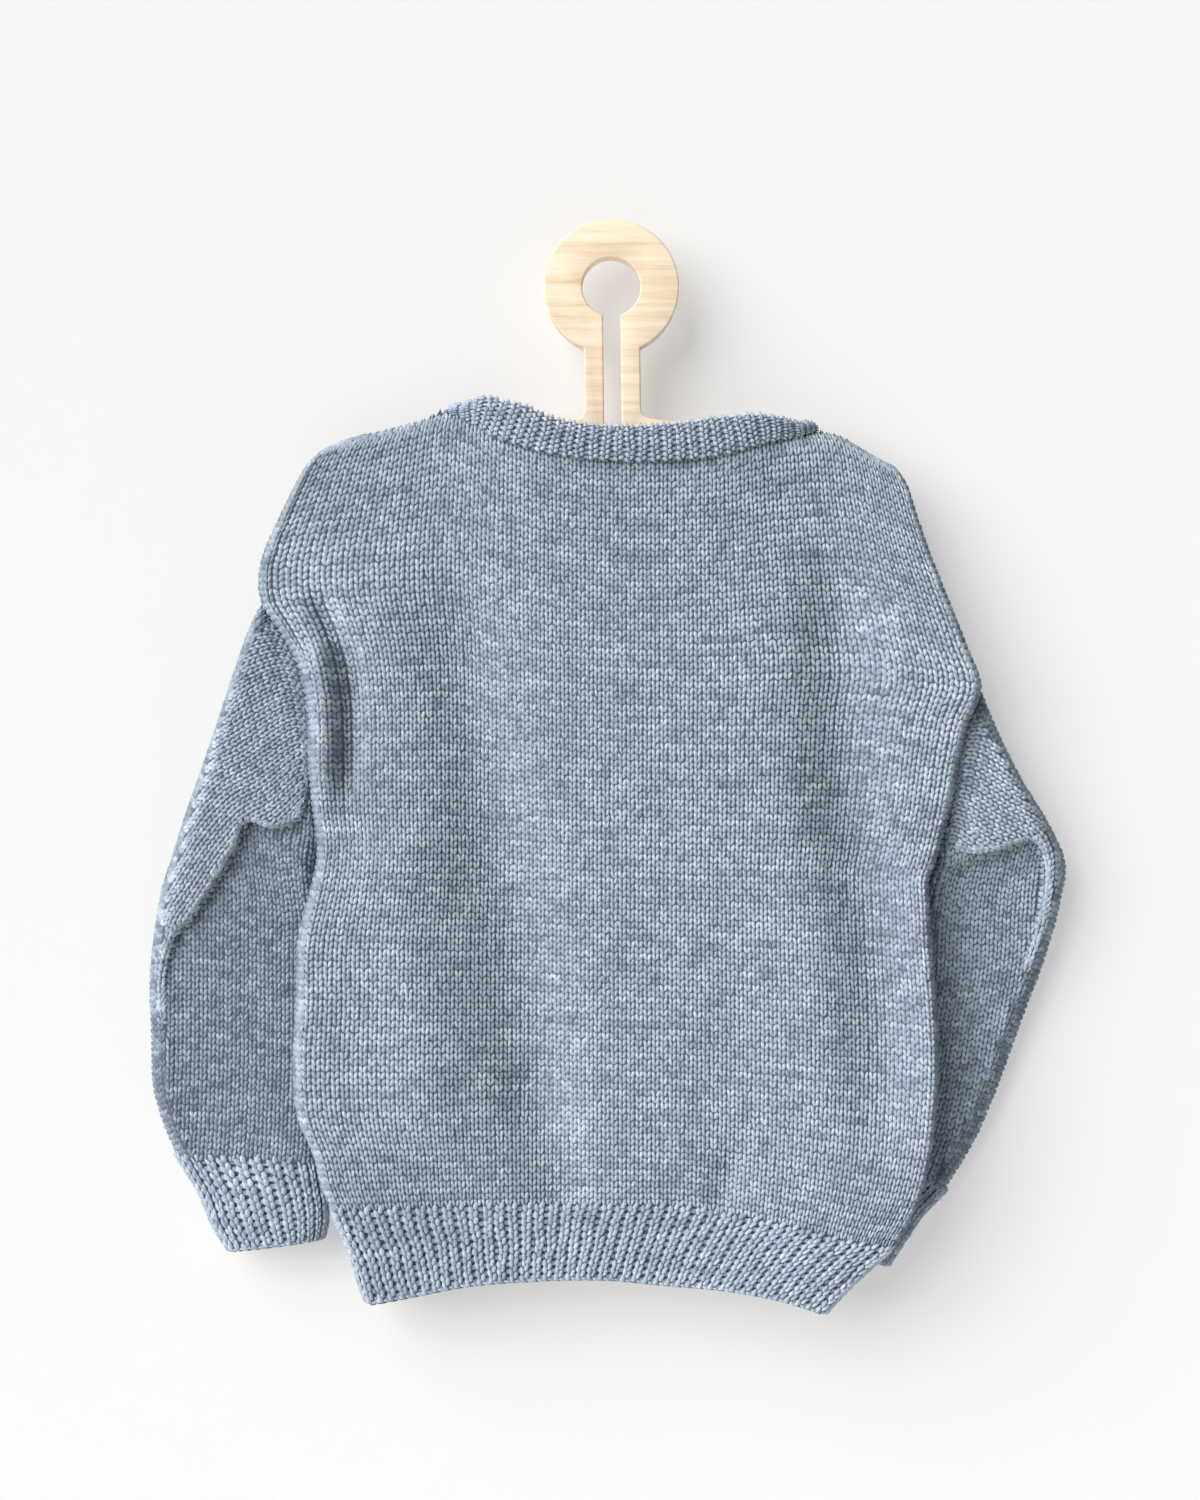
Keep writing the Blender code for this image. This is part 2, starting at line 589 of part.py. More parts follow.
def sleeve_surface(rows, side, armhole, sign):
    """Function giving the outer face of a sleeve at its steps along and around."""
    rows = np.asarray(rows, float)
    knots = lengths(rows[:, 2:4])
    knots = 0.5 * knots + 0.5 * lengths(rows[:, 0:2])

    def surface(across, along, near):
        row = through(knots, rows, along)
        first = np.clip(across / FOLD_AT, 0, 1)[..., None]
        second = np.clip((across - FOLD_AT) / (1 - FOLD_AT), 0, 1)[..., None]
        plan = np.where(across[..., None] < FOLD_AT,
                        row[..., 0:2] * (1 - first) + row[..., 2:4] * first,
                        row[..., 2:4] * (1 - second) + row[..., 4:6] * second)
        length = np.hypot(row[..., 4] - row[..., 0], row[..., 5] - row[..., 1])
        distance = np.minimum(np.hypot(plan[..., 0] - row[..., 0], plan[..., 1] - row[..., 1]),
                              np.hypot(plan[..., 0] - row[..., 4], plan[..., 1] - row[..., 5]))
        rise = quarter(distance, np.minimum(SLEEVE_ROUNDING, length / 3), 0.0 * distance)
        high = np.clip((FOLD_AT + 0.04 - across) / 0.08, 0, 1)
        high = high * high * (3 - 2 * high)
        if near:
            y = row[..., 7] - row[..., 8] * rise - row[..., 6] * high * rise
        else:
            y = row[..., 7] + row[..., 8] * rise * 0.8
        points = np.stack([plan[..., 0], y, plan[..., 1]], axis=-1)
        edge = armhole_points(side, armhole, across, sign, near)
        other = armhole_points(side, armhole, across, sign, not near)
        at_end = (across <= 0) | (across >= 1)
        edge[..., 1] = np.where(at_end, (edge[..., 1] + other[..., 1]) / 2, edge[..., 1])
        edge[..., 0] += sign * SEAM_GAP * 2
        fade = np.clip(1 - along / knots[2], 0, 1)[..., None] ** 1.5
        return points * (1 - fade) + edge * fade

    return surface


def tube(name, ring, steps, around, wall, relief, colour):
    """Tube of cloth through rings of points, with a plain inner face."""
    outer = np.stack([ring(step) for step in steps])
    before = np.roll(outer, 1, axis=1)
    after = np.roll(outer, -1, axis=1)
    round_ring = after - before
    along = np.gradient(outer, axis=0)
    n = np.cross(round_ring, along)
    n /= np.maximum(np.linalg.norm(n, axis=-1, keepdims=True), 1e-9)
    centre = outer.mean(axis=1, keepdims=True)
    if (n * (outer - centre)).sum() < 0:
        n = -n
    for end in (0, -1):
        line = outer[end, around] - outer[end, 0]
        flat = np.array([-line[2], 0.0, line[0]])
        flat /= np.linalg.norm(flat)
        n[end] -= (n[end] @ flat)[:, None] * flat
        n[end] /= np.linalg.norm(n[end], axis=-1, keepdims=True)
    inner = outer - n * wall
    points = np.concatenate([(outer + n * relief).reshape(-1, 3), inner.reshape(-1, 3)])
    return add_piece(name, points, shell_faces(len(steps), outer.shape[1], True), colour, 0.9)


def sleeve(name, rows, side, armhole, sign, colour):
    """Sleeve from its armhole to just above the cuff."""
    surface = sleeve_surface(rows, side, armhole, sign)
    near = np.array(SLEEVE_NEAR)
    far = np.array(SLEEVE_FAR)

    def ring(step):
        first = surface(near, np.full_like(near, step), True)
        second = surface(far, np.full_like(far, step), False)
        return np.concatenate([first, second])

    steps = np.linspace(0, 1, SLEEVE_STEPS)
    return tube(name, ring, steps, len(near) - 1, PANEL_WALL, 0.0, colour)


def cuff(name, rows, colour):
    """Ribbed cuff with its ribs raised on the outer face only."""
    rows = np.asarray(rows, float)
    knots = lengths(rows[:, 0:2])
    count = 2 * CUFF_RIBS
    angle = np.arange(count) * 2 * math.pi / count

    def ring(step):
        row = through(knots, rows, np.full(count, step))
        share = (1 - np.cos(angle)) / 2
        flat = np.abs(np.sin(angle)) ** 0.6 * np.sign(np.sin(angle))
        x = row[:, 0] * (1 - share) + row[:, 2] * share
        z = row[:, 1] * (1 - share) + row[:, 3] * share
        return np.stack([x, row[:, 4] - row[:, 5] * flat, z], axis=-1)

    steps = np.linspace(0, 1, CUFF_STEPS + 1)
    relief = np.where(np.arange(count) % 2 == 0, RIB_RELIEF, 0.0)[None, :, None]
    return tube(name, ring, steps, count // 2, RIB_WALL, relief, colour)


def neckline(rows, near):
    """Middle of the band along one neckline, a gap above the panel's own edge."""
    seam = panel_edge(0.0, near)
    rows = np.asarray(rows, float)
    share = np.linspace(0, 1, NECKLINE_STEPS)
    order = np.linspace(0, 1, len(rows))
    x = np.interp(share, order, rows[:, 0])
    height = np.interp(share, order, rows[:, 1])
    base = np.stack([x, np.interp(x, seam[:, 0], seam[:, 1]), np.interp(x, seam[:, 0], seam[:, 2])], axis=-1)
    ahead = np.gradient(base, axis=0)
    up = np.stack([-ahead[:, 2], 0 * x, ahead[:, 0]], axis=-1)
    up *= np.sign(up[:, 2:3])
    up /= np.linalg.norm(up, axis=1, keepdims=True)
    middle = base + up * (height / 2 + NECK_GAP)[:, None]
    middle[:, 1] += NECKBAND_SET_BACK if near else 0.0
    return np.column_stack([middle, height])


def neckband(colour):
    """Folded ribbed band round the neck, one closed ring."""
    rows = np.vstack([neckline(NECK_BACK, True), NECK_RIGHT_TURN, neckline(NECK_FRONT, False), NECK_LEFT_TURN])
    rows = np.vstack([rows, rows[:1]])
    steps = np.linalg.norm(np.diff(rows[:, :3], axis=0), axis=1)
    knots = np.concatenate(([0.0], np.cumsum(steps)))
    count = 2 * NECK_RIBS
    at = np.arange(count) * knots[-1] / count
    row = through(knots, rows, at)
    path = row[:, :3]
    ahead = np.roll(path, -2, axis=0) - np.roll(path, 2, axis=0)
    ahead /= np.linalg.norm(ahead, axis=1, keepdims=True)
    up = np.array([0.0, 0.0, 1.0]) - ahead[:, 2:3] * ahead
    up /= np.linalg.norm(up, axis=1, keepdims=True)
    out = np.cross(ahead, up)
    section = 6
    rings = []
    for k in range(section):
        angle = 2 * math.pi * (k + 0.5) / section
        outside = max(0.0, math.cos(angle))
        relief = np.where(np.arange(count) % 2 == 0, RIB_RELIEF * (outside > 0.1), 0.0)
        side = NECKBAND_THICKNESS / 2 * np.sign(math.cos(angle)) * abs(math.cos(angle)) ** 0.5
        height = (row[:, 3] / 2) * np.sign(math.sin(angle)) * abs(math.sin(angle)) ** 0.8
        rings.append(path + out * (side + relief)[:, None] + up * height[:, None])
    points = np.stack(rings, axis=1).reshape(-1, 3)
    faces = []
    for i in range(count):
        j = (i + 1) % count
        for k in range(section):
            m = (k + 1) % section
            faces.append((i * section + k, j * section + k, j * section + m, i * section + m))
    return add_piece("neckband", points, faces, colour, 0.9)


def lean(x, z):
    """Turn a point of the board by the hanger's lean about the origin."""
    return (HANGER_X + x * math.cos(LEAN) + z * math.sin(LEAN), -x * math.sin(LEAN) + z * math.cos(LEAN))


def arc(cx, cz, radius, start, end, count):
    """Points along an arc, angles in degrees from +x toward +z."""
    return [(cx + radius * math.cos(math.radians(a)), cz + radius * math.sin(math.radians(a)))
            for a in np.linspace(start, end, count)]


def hanger():
    """Flat board with a ring, a keyhole slot, a stem and two arms."""
    foot = math.degrees(math.asin(STEM_HALF / RING_RADIUS))
    outline = [lean(*p) for p in arc(0, -HOLE_RADIUS, RING_RADIUS, 270 - foot, -90 + foot, 40)]
    right_foot = arc(STEM_HALF + FOOT_FILLET, STEM_FOOT_Z, FOOT_FILLET, 180, 260, 5)
    left_foot = arc(-STEM_HALF - FOOT_FILLET, STEM_FOOT_Z, FOOT_FILLET, -80, 0, 5)
    outline += [lean(*p) for p in right_foot]
    outline += list(RIGHT_ARM_TOP[1:])
    outline += arc(*RIGHT_TIP, TIP_RADIUS, 50, -80, 8)
    outline += list(RIGHT_ARM_FOOT) + list(LEFT_ARM_FOOT)
    outline += arc(*LEFT_TIP, TIP_RADIUS, 265, 120, 8)
    outline += list(LEFT_ARM_TOP[1:-1])
    outline += [lean(*p) for p in left_foot]
    meet = math.degrees(math.asin(SLOT_HALF / HOLE_RADIUS))
    hole = [lean(*p) for p in arc(0, -HOLE_RADIUS, HOLE_RADIUS, 270 - meet, -90 + meet, 30)]
    hole += [lean(*p) for p in arc(0, SLOT_END + SLOT_HALF, SLOT_HALF, 0, -180, 9)]
    work = bmesh.new()
    edges = []
    for loop in (outline, hole):
        verts = [work.verts.new((x * MM, -BOARD_HALF * MM, z * MM)) for x, z in loop]
        edges += [work.edges.new((verts[i], verts[(i + 1) % len(verts)])) for i in range(len(verts))]
    bmesh.ops.triangle_fill(work, use_beauty=True, edges=edges)
    front = list(work.faces)
    grown = bmesh.ops.extrude_face_region(work, geom=front)
    moved = [g for g in grown["geom"] if isinstance(g, bmesh.types.BMVert)]
    bmesh.ops.translate(work, verts=moved, vec=(0, 2 * BOARD_HALF * MM, 0))
    bmesh.ops.recalc_face_normals(work, faces=work.faces)
    mesh = bpy.data.meshes.new("hanger")
    work.to_mesh(mesh)
    work.free()
    mesh.materials.append(material("hanger_material", (0.78, 0.6, 0.41, 1), 0.5))
    piece = bpy.data.objects.new("hanger", mesh)
    bpy.context.scene.collection.objects.link(piece)
    return piece


def main():
    """Clear the scene and build every piece."""
    for old in list(bpy.data.objects):
        bpy.data.objects.remove(old, do_unlink=True)
    wool = (0.28, 0.32, 0.37, 1)
    rib = (0.26, 0.3, 0.35, 1)
    panel("back_panel", lambda s, t: body(s, t, True), True, BACK_COLUMNS, BACK_ROWS, PANEL_WALL, 0.0,
          (-1,), wool)
    panel("front_panel", lambda s, t: body(s, t, False), False, FRONT_COLUMNS, FRONT_ROWS, PANEL_WALL, 0.0,
          (-1,), wool)
    ribs = np.linspace(-1, 1, 2 * HEM_RIBS + 1)
    relief = np.where(np.arange(len(ribs)) % 2 == 1, RIB_RELIEF, 0.0)[None, :, None]
    panel("hem_back", lambda s, t: hem(s, t, True), True, ribs, HEM_ROWS, RIB_WALL, relief, (0,), rib)
    panel("hem_front", lambda s, t: hem(s, t, False), False, ribs, HEM_ROWS, RIB_WALL, relief, (0,), rib)
    sleeve("sleeve_left", LEFT_SLEEVE, LEFT_SIDE, LEFT_ARMHOLE, -1, wool)
    sleeve("sleeve_right", RIGHT_SLEEVE, RIGHT_SIDE, RIGHT_ARMHOLE, 1, wool)
    cuff("cuff_left", LEFT_CUFF, rib)
    cuff("cuff_right", RIGHT_CUFF, rib)
    neckband(rib)
    hanger()


main()
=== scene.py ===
import math

import bmesh
import bpy
import numpy as np
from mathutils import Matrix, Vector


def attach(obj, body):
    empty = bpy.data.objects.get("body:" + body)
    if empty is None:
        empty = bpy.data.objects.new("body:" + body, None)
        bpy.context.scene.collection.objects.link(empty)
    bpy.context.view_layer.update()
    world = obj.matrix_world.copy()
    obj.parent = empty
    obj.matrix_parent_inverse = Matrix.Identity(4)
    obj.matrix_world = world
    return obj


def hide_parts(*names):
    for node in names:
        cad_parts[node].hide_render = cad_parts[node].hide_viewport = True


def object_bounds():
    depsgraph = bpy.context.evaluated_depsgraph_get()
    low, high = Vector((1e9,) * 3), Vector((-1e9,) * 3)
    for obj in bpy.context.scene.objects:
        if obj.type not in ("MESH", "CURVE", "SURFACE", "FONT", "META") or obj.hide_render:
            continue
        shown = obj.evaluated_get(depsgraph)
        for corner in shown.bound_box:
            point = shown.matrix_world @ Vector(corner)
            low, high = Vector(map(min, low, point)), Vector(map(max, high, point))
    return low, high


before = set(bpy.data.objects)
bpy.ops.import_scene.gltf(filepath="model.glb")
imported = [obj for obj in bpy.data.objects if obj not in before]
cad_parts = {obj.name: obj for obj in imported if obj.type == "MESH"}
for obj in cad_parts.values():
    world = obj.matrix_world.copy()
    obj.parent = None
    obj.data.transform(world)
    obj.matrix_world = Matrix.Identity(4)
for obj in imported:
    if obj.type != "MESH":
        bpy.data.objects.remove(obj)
CAD_LOW, CAD_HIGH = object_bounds()

# Sizes are in millimetres until a mesh is made, with x to the right in the photo,
# y away from the viewer and z up. The origin is the top of the hanger's hole.
MM = 0.001

# Knitting: one column and one row of the plain cloth
COLUMN = 4.1
ROW = 3.05
RIB_ROW = 3.6
NECK_ROW = 2.6
RIB_RELIEF = 0.9
RIB_FOOT = 0.97
CAST_ON_AT = 0.975
HEM_RIBS = 46
CUFF_RIBS = 26
NECK_RIBS = 68
EDGE_COLUMNS = 3
BODY_FUZZ = 0.12
SLEEVE_FUZZ = 0.25
RIB_FUZZ = 0.3

# Ground cloth under the stitches
GROUND_SINK = 0.75
GROUND_WALL = 1.2
SEAM_GAP = 0.3
HALF_GAP = SEAM_GAP / 2

# Painted shade in the yarn's tone, in steps of tone, where the photo is darker: the sleeve under its fold by
# side, the turned sides, the sleeve beside the armhole, its inner edge beside the body, and the purl bumps in
# rib valleys
LOWER_PAINTED_SHADE = {-1: 1.9, 1: 1.1}
SIDE_PAINTED_SHADE = 4.5
EDGE_PAINTED_SHADE = 2.7
ARMHOLE_PAINTED_SHADE = 3.0
ARMHOLE_REACH = 0.07
INNER_PAINTED_SHADE = 1.8
INNER_REACH = 0.12
VALLEY_PAINTED_SHADE = 0.9
DARKEST_TONE = -0.7

# Painted shade and painted light on the back: broad darker and lighter places in the yarn's tone
# columns: steps of tone, middle x, middle z, half width, half height
BACK_PAINTED_LIGHT_AND_SHADE = (
    (-1.3, 128.0, -275.0, 22.0, 115.0),
    (1.2, -118.0, -385.0, 24.0, 75.0),
)

# Body of the sweater, as in the part's source
SIDE_TIGHTNESS = 0.27
CENTRE_X = -3.0
EVEN_HALF_WIDTH = 150.0

# Side of the body from the shoulder tip down to the top of the hem rib
# columns: x, z
LEFT_SIDE = (
    (-142.5, -95.0),
    (-151.0, -103.0),
    (-159.0, -116.5),
    (-166.5, -132.0),
    (-172.5, -145.0),
    (-176.0, -159.5),
    (-174.5, -172.0),
    (-166.5, -184.5),
    (-157.0, -201.0),
    (-152.0, -219.5),
    (-150.0, -253.0),
    (-148.5, -275.5),
    (-146.0, -294.0),
    (-147.0, -304.5),
    (-150.0, -318.0),
    (-155.0, -337.5),
    (-156.0, -370.5),
    (-157.5, -403.5),
    (-155.0, -427.5),
    (-148.0, -444.0),
    (-143.5, -461.0),
    (-138.5, -473.0),
)
LEFT_ARMHOLE = (6, 12)

RIGHT_SIDE = (
    (140.5, -104.0),
    (145.5, -111.5),
    (152.5, -132.0),
    (160.0, -152.5),
    (168.0, -172.5),
    (176.5, -194.0),
    (183.5, -215.5),
    (176.5, -232.5),
    (171.5, -254.0),
    (167.0, -277.0),
    (160.5, -300.5),
    (157.0, -309.0),
    (157.0, -323.0),
    (158.0, -345.0),
    (160.0, -372.5),
    (161.0, -399.5),
    (159.5, -425.0),
    (156.5, -447.0),
    (150.5, -469.0),
    (138.5, -490.5),
)
RIGHT_ARMHOLE = (6, 10)

# Upper edge of the back: shoulder, neckline, shoulder
# columns: x, z, how far the edge stands open at the neck from 0 to 1
BACK_TOP = (
    (-142.5, -95.0, 0.0),
    (-134.5, -91.0, 0.0),
    (-116.0, -86.5, 0.0),
    (-95.0, -81.0, 0.0),
    (-78.0, -77.5, 0.0),
    (-72.5, -79.2, 0.4),
    (-66.0, -82.5, 0.7),
    (-59.0, -87.8, 0.85),
    (-44.5, -93.3, 0.95),
    (-27.0, -97.8, 1.0),
    (-6.0, -100.3, 1.0),
    (32.5, -100.3, 1.0),
    (54.0, -97.8, 0.95),
    (75.0, -91.5, 0.85),
    (86.0, -89.0, 0.6),
    (92.0, -88.0, 0.3),
    (96.0, -87.5, 0.0),
    (112.0, -88.5, 0.0),
    (129.5, -98.0, 0.0),
    (140.5, -104.0, 0.0),
)

# Upper edge of the front: the same shoulders, and a neckline cut lower
FRONT_TOP = (
    *BACK_TOP[:4],
    (-81.0, -78.6, 0.0),
    (-79.0, -82.5, 0.85),
    (-74.0, -94.0, 0.95),
    (-60.0, -114.0, 1.0),
    (-36.0, -130.5, 1.0),
    (-4.0, -137.5, 1.0),
    (32.0, -133.5, 1.0),
    (62.0, -119.5, 1.0),
    (83.0, -103.0, 0.95),
    (94.0, -91.5, 0.85),
    (98.0, -87.9, 0.0),
    *BACK_TOP[-3:],
)

# Line where the body ends and the hem rib starts
# columns: x, z
HEM_LINE = (
    (-138.5, -473.0),
    (-92.0, -471.5),
    (-46.0, -470.5),
    (-6.0, -470.5),
    (44.0, -472.0),
    (64.0, -475.5),
    (94.0, -481.5),
    (119.0, -487.5),
    (138.5, -490.5),
)

# Lower edge of the hem rib
HEM_FOOT = (
    (-121.5, -520.0),
    (-117.5, -519.5),
    (-95.5, -515.5),
    (-73.5, -511.5),
    (-44.5, -509.0),
    (-7.5, -508.0),
    (28.0, -510.5),
    (62.0, -513.0),
    (86.0, -517.5),
    (96.0, -520.5),
    (104.5, -523.5),
)
FRONT_HEM_DROP = 3.0
FRONT_HEM_DROP_X = -99.0
FRONT_HEM_DROP_WIDTH = 30.0

# Sides of the hem rib, top to foot
HEM_LEFT = ((-138.5, -473.0), (-135.5, -481.0), (-128.5, -497.0), (-125.0, -510.0), (-121.5, -520.0))
HEM_RIGHT = ((138.5, -490.5), (130.0, -497.0), (118.0, -507.5), (109.5, -517.5), (104.5, -523.5))

# How far the two panels stand from the middle, by height
# columns: z, near, far, rounding at the sides
DEPTHS = (
    (-70.0, 9.2, 9.2, 9.0),
    (-110.0, 9.8, 9.2, 9.0),
    (-150.0, 12.0, 9.4, 12.0),
    (-210.0, 15.0, 10.0, 15.0),
    (-300.0, 18.5, 10.5, 18.0),
    (-400.0, 20.5, 10.5, 22.0),
    (-440.0, 20.5, 10.0, 19.0),
    (-465.0, 17.5, 9.2, 14.0),
    (-485.0, 14.2, 8.5, 10.0),
    (-530.0, 13.5, 8.0, 9.0),
)
SHOULDER_ROUNDING = 8.0
NECK_FULLNESS = 5.8
NECK_FULL_AT = (6.0, -98.0)
NECK_FULL_SIZE = (75.0, 34.0)

# The body's sides lie over the sleeves below the underarm
# columns: z, how far forward the left side lies, and the right side
SIDE_LIFT = (
    (-90.0, 0.0, 0.0),
    (-270.0, 0.0, 0.0),
    (-294.0, 3.0, 0.0),
    (-302.0, 4.5, 2.0),
    (-314.0, 6.5, 5.0),
    (-345.0, 7.5, 8.5),
    (-450.0, 6.5, 10.0),
    (-530.0, 2.0, 9.0),
)
LEFT_LIFT_REACH = 60.0
RIGHT_LIFT_REACH = 105.0

# Folds of the back as soft valleys and ridges, which fade over a share of their length
# columns: half width, depth toward the wall, path of x and z
FOLD_FADE = 0.18
BACK_FOLDS = (
    (22.0, 8.0, ((-90.0, -140.0), (-77.0, -190.0), (-68.0, -240.0), (-60.0, -290.0), (-47.0, -340.0),
                 (-42.0, -400.0), (-33.0, -450.0))),
    (15.0, 4.5, ((-46.0, -395.0), (-38.0, -420.0), (-30.0, -450.0), (-26.0, -476.0))),
    (24.0, -5.5, ((-108.0, -270.0), (-103.0, -340.0), (-100.0, -400.0), (-94.0, -458.0))),
    (20.0, 11.0, ((98.0, -130.0), (111.0, -170.0), (113.0, -220.0), (115.0, -270.0), (124.0, -320.0),
                  (130.0, -360.0), (132.0, -410.0), (132.0, -455.0))),
    (9.0, -8.5, ((-150.0, -187.0), (-144.5, -205.0), (-143.0, -226.0), (-142.5, -246.0), (-141.5, -272.0))),
    (5.5, 5.5, ((-152.0, -162.0), (-141.5, -183.0), (-134.5, -198.0), (-131.0, -212.0), (-130.5, -240.0),
                (-132.5, -272.0))),
    (7.0, 2.4, ((58.0, -440.0), (55.0, -458.0), (50.0, -474.0))),
)

# Folds of the hidden front, of the same kind
FRONT_FOLDS = (
    (18.0, -2.0, ((-70.0, -190.0), (-84.0, -270.0), (-80.0, -380.0))),
    (16.0, -1.8, ((70.0, -180.0), (88.0, -260.0), (84.0, -350.0))),
    (14.0, -1.5, ((10.0, -400.0), (4.0, -440.0), (0.0, -474.0))),
)

# Sleeves, one row for each section from the armhole to the cuff
# columns: outer x, z; edge of the fold x, z; inner x, z; step at the fold; middle y; half depth
LEFT_SLEEVE = (
    (-174.5, -172.0, -150.0, -262.0, -146.0, -294.0, 0.0, 0.0, 9.0),
    (-183.0, -188.5, -155.0, -285.5, -147.0, -298.0, 4.0, 1.5, 9.0),
    (-195.0, -226.0, -168.5, -285.0, -148.0, -304.0, 7.0, 3.5, 9.0),
    (-205.5, -256.0, -182.0, -282.5, -148.0, -311.0, 8.0, 5.0, 9.0),
    (-212.0, -273.5, -187.0, -294.5, -147.0, -321.0, 8.0, 6.5, 8.5),
    (-219.0, -295.0, -196.5, -310.5, -145.0, -336.0, 7.5, 7.5, 8.0),
    (-226.0, -317.0, -209.0, -329.0, -145.0, -353.0, 6.5, 8.5, 8.0),
    (-230.5, -343.5, -219.0, -342.0, -145.0, -371.0, 4.5, 9.0, 8.0),
    (-232.0, -367.0, -224.0, -366.5, -145.0, -391.0, 2.0, 9.0, 8.0),
    (-231.0, -390.5, -220.5, -393.0, -145.0, -411.0, 0.8, 8.5, 8.0),
    (-230.0, -415.5, -219.5, -417.0, -145.5, -426.0, 0.0, 8.0, 8.0),
    (-223.5, -436.5, -214.0, -437.0, -146.0, -441.0, 0.0, 7.0, 8.0),
    (-216.5, -451.0, -207.5, -451.2, -147.0, -453.0, 0.0, 6.0, 7.0),
)
RIGHT_SLEEVE = (
    (183.5, -215.5, 164.5, -287.0, 160.5, -300.5, 0.0, 0.0, 8.0),
    (193.0, -238.5, 174.0, -300.0, 160.8, -303.0, 4.0, 2.5, 9.0),
    (205.5, -261.5, 191.0, -296.0, 158.0, -308.5, 7.0, 5.0, 9.0),
    (219.0, -283.0, 209.5, -291.5, 155.5, -316.0, 8.0, 7.5, 8.5),
    (227.0, -300.5, 214.5, -301.5, 153.0, -327.0, 7.0, 9.0, 8.0),
    (225.0, -322.5, 214.5, -321.5, 151.0, -343.0, 5.0, 10.0, 7.5),
    (218.5, -347.0, 208.5, -347.5, 150.0, -363.0, 2.0, 10.5, 7.0),
    (206.5, -381.0, 197.0, -382.5, 145.0, -390.5, 0.0, 12.3, 6.8),
    (195.5, -411.5, 187.0, -411.7, 140.5, -413.0, 0.0, 12.8, 6.6),
    (183.5, -440.5, 175.5, -439.5, 134.0, -432.0, 0.0, 13.0, 6.6),
    (166.5, -469.0, 159.5, -465.5, 124.5, -445.0, 0.0, 12.9, 6.4),
)
ARMHOLE_OPEN = 0.62
SLEEVE_ROUNDING = 10.0
FOLD_AT = 0.4
FOLD_ROUNDING = 3.6
FOLD_ENDS = 1.2

# Cuffs, one row for each section
# columns: outer x, z; inner x, z; middle y; half depth
LEFT_CUFF = (
    (-216.5, -451.4, -147.0, -453.4, 6.0, 7.0),
    (-206.5, -467.5, -144.0, -469.5, 5.5, 7.5),
    (-199.5, -484.0, -143.5, -482.0, 5.0, 7.5),
    (-191.5, -497.0, -145.5, -491.0, 5.0, 7.0),
)
RIGHT_CUFF = (
    (166.1, -469.4, 124.1, -445.4, 12.3, 5.8),
    (156.0, -480.0, 114.5, -456.5, 12.0, 5.8),
    (147.0, -493.0, 107.0, -472.0, 11.6, 5.7),
    (138.5, -506.0, 98.5, -489.5, 11.4, 5.7),
)

# Neckband heights along the back neckline, left to right
# columns: x, height
NECK_BACK = (
    (-72.5, 6.0),
    (-66.0, 12.5),
    (-58.0, 16.0),
    (-49.5, 17.0),
    (-39.5, 15.2),
    (-29.0, 14.4),
    (-6.0, 14.2),
    (32.5, 15.2),
    (54.0, 16.2),
    (72.0, 12.4),
    (84.0, 8.0),
    (92.0, 5.0),
)
# Neckband heights along the front neckline, right to left
NECK_FRONT = (
    (93.0, 7.0),
    (84.0, 11.0),
    (64.0, 13.0),
    (32.0, 13.0),
    (-4.0, 13.0),
    (-36.0, 13.0),
    (-60.0, 13.0),
    (-74.0, 11.0),
    (-78.5, 8.0),
)
# Where the band turns over the shoulders
# columns: x, y, z, height
NECK_RIGHT_TURN = (98.5, 0.0, -84.4, 4.6)
NECK_LEFT_TURN = (-79.0, 0.0, -76.4, 4.2)
NECKBAND_THICKNESS = 6.0
NECKBAND_SET_BACK = -1.6
NECK_OVERLAP = 2.0
NECK_RISE = 0.5
NECKLINE_STEPS = 40


def smooth(share):
    """Share from 0 to 1, eased at both ends."""
    return share * share * (3 - 2 * share)


def unit(vectors):
    """The same directions at length one."""
    return vectors / np.maximum(np.linalg.norm(vectors, axis=-1, keepdims=True), 1e-9)


def running(steps):
    """Running total of the steps, from zero."""
    return np.concatenate(([0.0], np.cumsum(steps)))


def run_of(path):
    """Running length along a path of points."""
    return running(np.linalg.norm(np.diff(path, axis=0), axis=1))


def side_of(near):
    """Direction out of the cloth, toward the viewer on the near side."""
    return np.array([0.0, -1.0 if near else 1.0, 0.0])


def through(keys, values, at):
    """Smooth curve through the rows of a table: cubic pieces with the table's own slopes."""
    keys = np.asarray(keys, float)
    values = np.asarray(values, float)
    at = np.clip(at, keys[0], keys[-1])
    slopes = np.gradient(values, keys, axis=0)
    i = np.clip(np.searchsorted(keys, at, side="right") - 1, 0, len(keys) - 2)
    step = keys[i + 1] - keys[i]
    u = (at - keys[i]) / step
    if values.ndim == 2:
        step = step[..., None]
        u = u[..., None]
    rise = smooth(u)
    lead = u * (1 - u) ** 2 * step
    tail = -u * u * (1 - u) * step
    return values[i] * (1 - rise) + values[i + 1] * rise + slopes[i] * lead + slopes[i + 1] * tail


def lengths(rows):
    """Share of a path's length at each of its rows, measured in x and z."""
    points = np.asarray(rows, float)[:, :2]
    total = running(np.hypot(*np.diff(points, axis=0).T))
    return total / total[-1]


def table(rows, at):
    """Columns after the first, read smoothly at values of the first."""
    rows = np.asarray(rows, float)
    return through(rows[:, 0], rows[:, 1:], at)


def quarter(distance, radius, opened):
    """Rise of a rounded edge from its opened share to 1 within the radius."""
    rest = 1 - np.clip(distance / radius, 0, 1)
    return np.sqrt(np.clip(1 - rest ** 2 * (1 - opened ** 2), 1e-9, 1))


